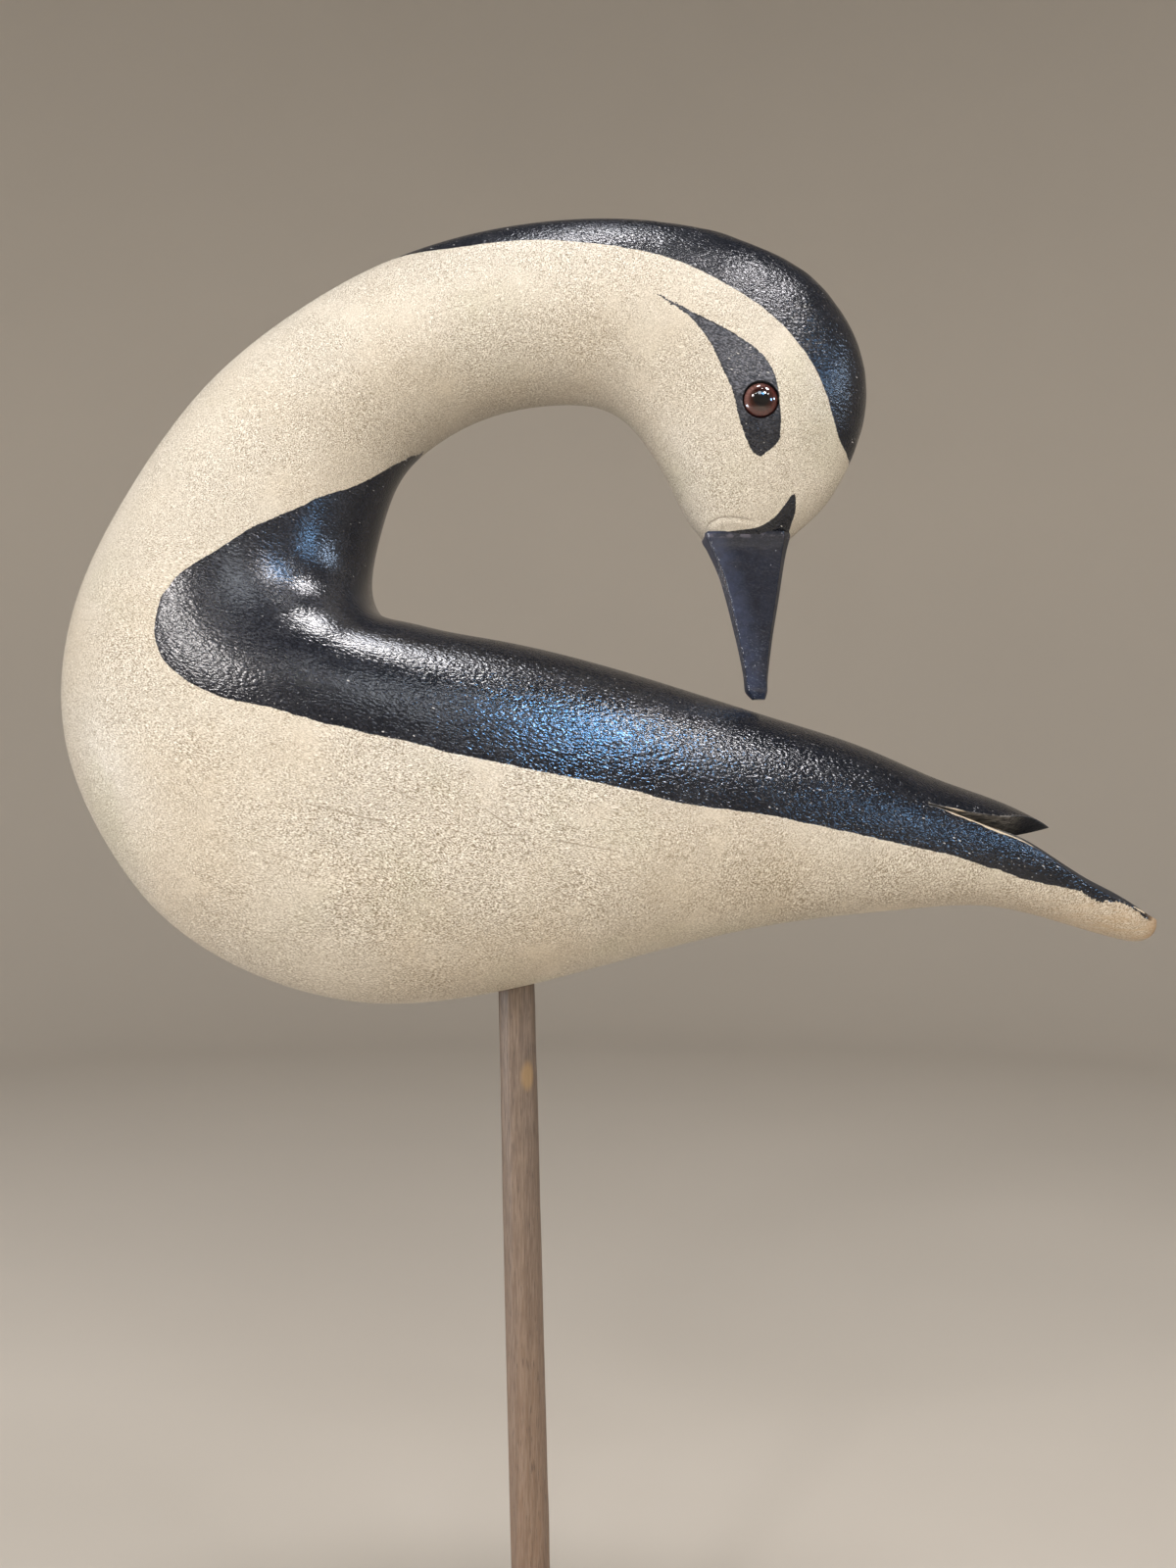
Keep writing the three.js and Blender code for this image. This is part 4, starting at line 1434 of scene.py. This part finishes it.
@dataclass
class GlassEye:
    """A domed glass eye, brown round a dark pupil."""

    name: str
    side: float
    x: float = 71.8
    z: float = 453.8
    rim_y: float = 22.4
    radius: float = 5.5
    bulge: float = 2.4
    sunk: float = 0.6
    seat_gap: float = 0.3
    pupil: float = 2.4
    dark_ring: float = 3.1
    finish: GlassFinish = GlassFinish()

    def turn(self, profile: FloatArray, sides: int) -> FloatArray:
        """Turns a profile round the way the eye looks, with height 0 at the middle of its rim."""
        foot = Vector((self.x, self.side * self.rim_y, self.z))
        return turned(profile, sides, Vector((0.0, self.side, 0.0)), foot)

    def seat_cutter(self, depth: float) -> Piece:
        """The round seat that the eye is set in, open to the outside."""
        wide = self.radius + self.seat_gap
        return loft(self.name + "_seat", self.turn(np.array([[wide, -depth], [wide, 6.0]]), 64))

    def build(self) -> Piece:
        """A dome over a short wall: radius R cos(t), height -sunk + (bulge + sunk) sin(t).

        Returns:
            The finished eye.
        """
        t = np.linspace(0, np.pi / 2 * 0.985, 28)
        height = -self.sunk + (self.bulge + self.sunk) * np.sin(t)
        dome = np.stack([self.radius * np.cos(t), height], -1)
        wall = np.array([[self.radius - 0.2, -2.5], [self.radius, -2.3], [self.radius, -1.0]])
        return soften(loft(self.name + "_glass", self.turn(np.concatenate([wall, dome]), 72)))

    def paint(self) -> bpy.types.Material:
        """Brown-red glass under a clear gloss: pupil, dark ring and a paler ring with fine spokes, painted
        lighter towards the upper left as light and darker round its edge as shade.

        Returns:
            The material.
        """
        f, g = self.finish, Finish("brown_glass")
        off = (g.mm - (self.x, 0.0, self.z)) * (1.0, 0.0, 1.0)
        radius = g.math("LENGTH", off)
        off_x, _, off_z = g.split(off)
        spokes = g.noise(g.math("NORMALIZE", off), 7.0, 3.0, 0.6)
        wobble = radius + (spokes - 0.5) * 0.5
        colour = g.coats(
            f.shaded,
            # Painted light: the iris lighter towards its upper left.
            (g.ramp(off_z - off_x, -1.0, 7.0), f.lit),
            (g.ramp(spokes, 0.35, 0.7, 0.0, 0.8), f.spoke),
            (g.fall(wobble, self.dark_ring, self.dark_ring + 1.3), f.ring),
            (g.fall(wobble, self.pupil - 0.1, self.pupil + 0.35), f.pupil),
            # Painted shade: darker round the edge of the dome.
            (g.ramp(radius, self.radius - 0.55, self.radius - 0.05), f.rim),
        )
        g.fill(g.shader, Base_Color=colour, Roughness=f.rough)
        g.fill(g.shader, Coat_Weight=1.0, Coat_Roughness=f.gloss_rough)
        return g.material


# Stick


@dataclass(frozen=True)
class StickFinish:
    """Colours of the stick's bare wood, at its foot and its top, and of the marks in it."""

    low: Colour = (0.235, 0.150, 0.098)
    high: Colour = (0.140, 0.106, 0.082)
    band: Colour = (0.105, 0.070, 0.050)
    fibre: Colour = (0.300, 0.225, 0.170)
    pore: Colour = (0.060, 0.042, 0.034)
    knot: Colour = (0.420, 0.270, 0.110)
    knot_spot: Colour = (-1.6, -5.0, 239.5)


@dataclass
class Stick:
    """The shaved stick that carries the bird."""

    foot: Vector = field(default_factory=lambda: Vector((0.4, 0.0, 28.0)))
    foot_radius: float = 6.6
    top_radius: float = 6.1
    lean_deg: float = 1.42
    depth: float = 19.7
    top: float = 260.0
    sides: int = 96
    finish: StickFinish = StickFinish()

    def axis(self) -> Vector:
        """The stick's direction, leaning towards the breast."""
        lean = math.radians(self.lean_deg)
        return Vector((-math.sin(lean), 0.0, math.cos(lean)))

    def grown(self, gap: float) -> Piece:
        """The hole for the stick, larger all round by a gap."""
        low, high = [self.foot_radius + gap, -self.depth - gap], [self.top_radius + gap, self.top + gap]
        return loft("stick_hole", turned(np.array([low, high]), 64, self.axis(), self.foot))

    def build(self) -> Piece:
        """The stick, with long knife flats that come and go.

        The radius is scaled by 1 less a share of (1 - cos(count * turn)) for nine narrow and four
        wide flats, and the ripple is added. The ripple is stretched along the stick.

        Returns:
            The stick.
        """
        height = np.linspace(-self.depth, self.top, 300)
        share = (height + self.depth) / (self.top + self.depth)
        radius = self.foot_radius + (self.top_radius - self.foot_radius) * share
        rings = turned(np.stack([radius, height], -1), self.sides, self.axis(), self.foot)
        middle = rings.mean(1, keepdims=True)
        angle = np.linspace(0, 2 * np.pi, self.sides, endpoint=False)[None]
        turn = angle + 0.25 * np.sin(height / 70)[:, None]
        flat = 0.012 * (1 - np.cos(9 * turn)) + 0.010 * (1 - np.cos(4 * turn + 1.3))
        ripple = hand_ripple(rings.reshape(-1, 3) * np.array([1, 1, 0.16]), 0.06, 5.0, seed=43)
        scale = 1 - flat + (ripple.reshape(flat.shape) - 0.05) / radius[:, None]
        return soften(loft("stick_shaved", middle + (rings - middle) * scale[..., None]))

    def paint(self, effects: Effects) -> bpy.types.Material:
        """Grey-brown bare wood, handled smooth, with fine fibres and one pale knot.

        Args:
            effects: The shared node groups.

        Returns:
            The material.
        """
        f, g = self.finish, Finish("grey_brown_wood")
        grain = g.use(effects.grain, Place=g.mm, Width=4.0, Fineness=0.5, Stretch=16.0)
        knot = g.math("LENGTH", (g.mm - f.knot_spot) * (0.4, 0.35, 0.2))
        colour = g.coats(
            f.low,
            (g.ramp(g.z, 40, 290), f.high),
            (grain["Band"] * 0.35, f.band),
            (g.ramp(grain["Fibre"], 0.35, 0.7, 0.0, 0.55), f.fibre),
            (grain["Pore"] * 0.6, f.pore),
            (g.fall(knot, 0.5, 1.25, 0.55), f.knot),
        )
        rough = g.mix(grain["Fibre"], 0.45, 0.62, "VALUE")
        g.fill(g.shader, Base_Color=colour, Roughness=rough)
        g.bump(grain["Fibre"] - grain["Pore"] * 0.6, 0.10)
        return g.material


# Base


@dataclass(frozen=True)
class BaseFinish:
    """Colours of the base's stained wood and of the marks in it."""

    stain: Colour = (0.125, 0.056, 0.026)
    band: Colour = (0.048, 0.020, 0.010)
    fibre: Colour = (0.190, 0.092, 0.043)
    pore: Colour = (0.022, 0.010, 0.006)
    rubbed: Colour = (0.300, 0.165, 0.085)


@dataclass
class Base:
    """A low turned disk with a rounded upper edge."""

    radius: float = 78.0
    height: float = 28.0
    edge: float = 6.0
    foot_chamfer: float = 1.5
    finish: BaseFinish = BaseFinish()

    def profile(self) -> FloatArray:
        """Goes from the underside's middle out, up the wall, round the edge and in over the top.

        Returns:
            Radius and height of each ring.
        """
        wide, low = self.radius, self.foot_chamfer
        turn = np.linspace(0, np.pi / 2, 14)
        foot = [[8.0, 0.0], [40.0, 0.0], [wide - low - 0.4, 0.0], [wide - low, 0.12]]
        foot += [[wide - 0.1, low], [wide, low + 0.4]]
        wall = [[wide, z] for z in np.linspace(low + 2, self.height - self.edge - 1, 8)]
        over_x = wide - self.edge * (1 - np.cos(turn))
        over_z = self.height - self.edge * (1 - np.sin(turn))
        top = [[r, self.height] for r in np.linspace(wide - self.edge - 2, 8, 30)]
        return np.concatenate([foot, wall, np.stack([over_x, over_z], -1), top])

    def build(self, stick: Stick, gap: float) -> Piece:
        """The disk, bored for the stick with a gap all round."""
        piece = loft("base_turned", turned(self.profile(), 160, UP, ORIGIN))
        carve(piece, [stick.grown(gap)])
        return soften(piece, 40)

    def paint(self, effects: Effects) -> bpy.types.Material:
        """Dark brown stained wood with plank grain along X, turning rings and a rubbed rim.

        Args:
            effects: The shared node groups.

        Returns:
            The material.
        """
        f, g = self.finish, Finish("brown_stained_wood")
        place = g.join(g.y + g.x * g.x * 0.0016 + g.z * 0.8, g.z, g.x)
        grain = g.use(effects.grain, Place=place, Width=7.5, Fineness=0.8, Stretch=14.0)
        reach = g.math("LENGTH", g.mm * (1.0, 1.0, 0.0))
        rub = g.ramp(reach, 71, 76.5) * g.ramp(g.z, 20, 26)
        rub = rub * g.ramp(g.noise(g.mm, 0.12, 4.0, 0.6), 0.42, 0.62)
        colour = g.coats(
            f.stain,
            (grain["Band"], f.band),
            (g.ramp(grain["Fibre"], 0.35, 0.7, 0.0, 0.45), f.fibre),
            (grain["Pore"] * 0.7, f.pore),
            (rub * 0.55, f.rubbed),
        )
        rough = g.noise(g.mm, 0.05, 3.0) * 0.2 + 0.28 + rub * 0.2
        g.fill(g.shader, Base_Color=colour, Roughness=rough)
        rings = g.math("SINE", reach * 4.2) * 0.12
        g.bump(grain["Fibre"] + rings - grain["Pore"] * 0.5, 0.09)
        return g.material


# Studio


@dataclass(frozen=True)
class Lamp:
    """A round lamp, placed by its direction from a spot on the bird, given in millimetres."""

    name: str
    spot: Colour
    azimuth_deg: float
    elevation_deg: float
    distance: float
    size: float
    power: float
    colour: Colour = (1.0, 1.0, 1.0)
    scattered: bool = True
    mirrored: bool = True
    spread_deg: float = 180.0

    def place(self) -> None:
        """Adds the lamp; azimuth is to the right of the camera's side, -Y."""
        a, e = math.radians(self.azimuth_deg), math.radians(self.elevation_deg)
        way = Vector((math.sin(a) * math.cos(e), -math.cos(a) * math.cos(e), math.sin(e)))
        data = bpy.data.lights.new(self.name, "AREA")
        data.shape = "DISK"
        data.size = self.size
        data.energy = self.power
        data.color = self.colour
        data.spread = math.radians(self.spread_deg)
        lamp = bpy.data.objects.new(self.name, data)
        lamp.location = Vector(self.spot) * MM + way * self.distance
        lamp.rotation_euler = way.to_track_quat("Z", "Y").to_euler()
        lamp.visible_camera = False
        lamp.visible_glossy = self.mirrored
        lamp.visible_diffuse = self.scattered
        bpy.context.scene.collection.objects.link(lamp)


MIDDLE = (0.0, 0.0, 380.0)
EYE = (71.8, -24.0, 455.0)
LAMPS = (
    Lamp("front_soft", MIDDLE, 13, 20, 1.6, 0.9, 12.2, (1.0, 0.98, 0.93), mirrored=False),
    Lamp("front_cool", MIDDLE, 4, 37, 1.4, 0.3, 1.5, (0.86, 0.92, 1.0)),
    Lamp("left_soft", MIDDLE, -70, 6, 1.5, 0.7, 11.0, (0.95, 0.96, 1.0), mirrored=False),
    Lamp("left_key", (-103, -41, 378), -22, 31, 1.3, 0.15, 2.8, (1.0, 0.95, 0.93)),
    Lamp(
        "window_blue", (15, -42, 352), 22, 41, 0.40, 0.070, 0.046, (0.14, 0.48, 1.0), False,
        spread_deg=32,
    ),
    Lamp("shoulder_warm", (-77, -40, 394), 30, 36, 1.4, 0.16, 3.2, (1.0, 0.95, 0.95), False),
    Lamp("overhead", (-22, -38, 367), 12, 79, 1.1, 0.17, 3.6, (1.0, 0.97, 0.97)),
    Lamp("crest", MIDDLE, 0, 88, 1.4, 0.30, 3.4, (0.90, 0.92, 1.0), False),
    Lamp("high_right", (67, -20, 497), 50, 54, 1.2, 0.24, 3.4, (1.0, 0.97, 1.0)),
    Lamp("cap_sheen", (67, -20, 497), 49, 51, 1.2, 0.18, 3.6, (1.0, 0.98, 1.0), False),
    Lamp("right_cool", (98, -18, 461), 69, 14, 1.3, 0.15, 3.8, (0.55, 0.73, 1.0), False),
    Lamp("root_cool", (-60, -30, 400), 52, 12, 1.3, 0.16, 2.4, (0.30, 0.58, 1.0), False),
    Lamp("left_cool", (-129, -37, 343), -84, -10, 1.1, 0.2, 2.4, (0.66, 0.82, 1.0), False),
    Lamp("low_left", (30, -20, 440), -70, -15, 1.2, 0.3, 3.6, (0.92, 0.96, 1.0), False),
    Lamp("low_front", MIDDLE, 12, -5, 1.4, 0.8, 2.0, (1.0, 0.80, 0.55), mirrored=False),
    Lamp("behind_left", MIDDLE, -120, 38, 1.5, 0.7, 1.6, mirrored=False),
    Lamp("behind_right", MIDDLE, 120, 38, 1.5, 0.7, 2.4, mirrored=False),
    Lamp("top_soft", MIDDLE, 180, 80, 1.3, 0.9, 0.6, (1.0, 0.97, 0.93), mirrored=False),
    Lamp("glint_1", EYE, -42, 49, 1.2, 0.045, 0.4),
    Lamp("glint_2", EYE, -16, 33, 1.2, 0.035, 0.25),
    Lamp("glint_3", EYE, -32, 25, 1.2, 0.035, 0.2),
    Lamp("glint_4", EYE, 16, 56, 1.2, 0.045, 0.4),
    Lamp("glint_5", EYE, 17, 37, 1.2, 0.035, 0.2),
    Lamp("glint_6", EYE, 36, 30, 1.2, 0.045, 0.4),
)


@dataclass
class Studio:
    """A pale floor that curves up all round, soft lamps and the camera."""

    floor_radius: float = 1.5
    wall_radius: float = 2.3
    wall_height: float = 2.6
    floor_drop: float = 0.0003
    camera: Vector = field(default_factory=lambda: Vector((0.0179, -0.512, 0.3339)))
    lens: float = 36.0
    sensor: float = 36.0
    floor_colour: Colour = (0.66, 0.605, 0.53)
    sky: Colour = (0.95, 0.97, 1.0)
    sky_strength: float = 0.05

    def build_floor(self) -> None:
        """One sheet turned round Z: flat, then a quarter circle up, then a wall."""
        rise = self.wall_radius - self.floor_radius
        t = np.linspace(0, np.pi / 2, 24)
        bend = np.stack([self.floor_radius + rise * np.sin(t), rise * (1 - np.cos(t))], -1)
        profile = np.concatenate([[[0.02, 0.0], [0.5, 0.0]], bend, [[self.wall_radius, self.wall_height]]])
        profile[:, 1] -= self.floor_drop
        rings = turned(profile, 96, UP, ORIGIN)
        count, sides, _ = rings.shape
        verts = np.concatenate([rings.reshape(-1, 3), [[0.0, 0.0, -self.floor_drop]]])
        floor = add_piece("studio_floor", verts, bands(count, sides), fan(count * sides, 0, sides))
        g = Finish("pale_floor")
        darker = tuple(0.96 * c for c in self.floor_colour)
        tone = g.mix(g.noise(g.mm, 0.004), self.floor_colour, darker)
        g.fill(g.shader, Base_Color=tone, Roughness=0.85)
        floor.data.materials.append(g.material)
        soften(floor)

    def build_world(self) -> None:
        """Plain pale light from above the wall."""
        world = bpy.data.worlds.new("pale_room")
        world.use_nodes = True
        back = world.node_tree.nodes["Background"]
        back.inputs["Color"].default_value = (*self.sky, 1.0)
        back.inputs["Strength"].default_value = self.sky_strength
        bpy.context.scene.world = world

    def build_camera(self) -> None:
        """A level camera that sees the picture's height in one lens length."""
        data = bpy.data.cameras.new("camera")
        data.sensor_fit = "VERTICAL"
        data.sensor_height = self.sensor
        data.lens = self.lens
        data.clip_start = 0.01
        camera = bpy.data.objects.new("camera", data)
        camera.location = self.camera
        camera.rotation_euler = (math.pi / 2, 0.0, 0.0)
        bpy.context.scene.collection.objects.link(camera)
        bpy.context.scene.camera = camera

    def build(self) -> None:
        """Floor, world, camera and lamps."""
        self.build_floor()
        self.build_world()
        self.build_camera()
        for lamp in LAMPS:
            lamp.place()
        bpy.context.scene.view_settings.view_transform = "Standard"


def dress(piece: Piece, material: bpy.types.Material, node: str) -> None:
    """Gives a piece its finish and puts it in a node's place on the body.

    Args:
        piece: The finished piece.
        material: Its finish.
        node: The node that it stands for.
    """
    piece.data.materials.clear()
    piece.data.materials.append(material)
    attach(piece, BODY)
    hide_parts(node)
    log.info("%s: %d faces in %s", piece.name, len(piece.data.polygons), material.name)


def main() -> None:
    """Builds the decoy's pieces in order, then the studio."""
    logging.basicConfig(level=logging.INFO, format="%(name)s: %(message)s")
    effects = Effects()
    stick = Stick()
    eyes = (GlassEye("eye_near", -1.0), GlassEye("eye_far", 1.0))
    bird = CarvedBird()
    dress(bird.build(stick, eyes), bird.paint(effects), "carved_bird")
    bill = Bill()
    dress(bill.build(), bill.paint(effects), "bill")
    glass = eyes[0].paint()
    for eye, node in zip(eyes, ("glass_eye_near", "glass_eye_far")):
        dress(eye.build(), glass, node)
    dress(stick.build(), stick.paint(effects), "stick")
    base = Base()
    dress(base.build(stick, bird.stick_gap), base.paint(effects), "base")
    Studio().build()


if __name__ == "__main__":
    main()
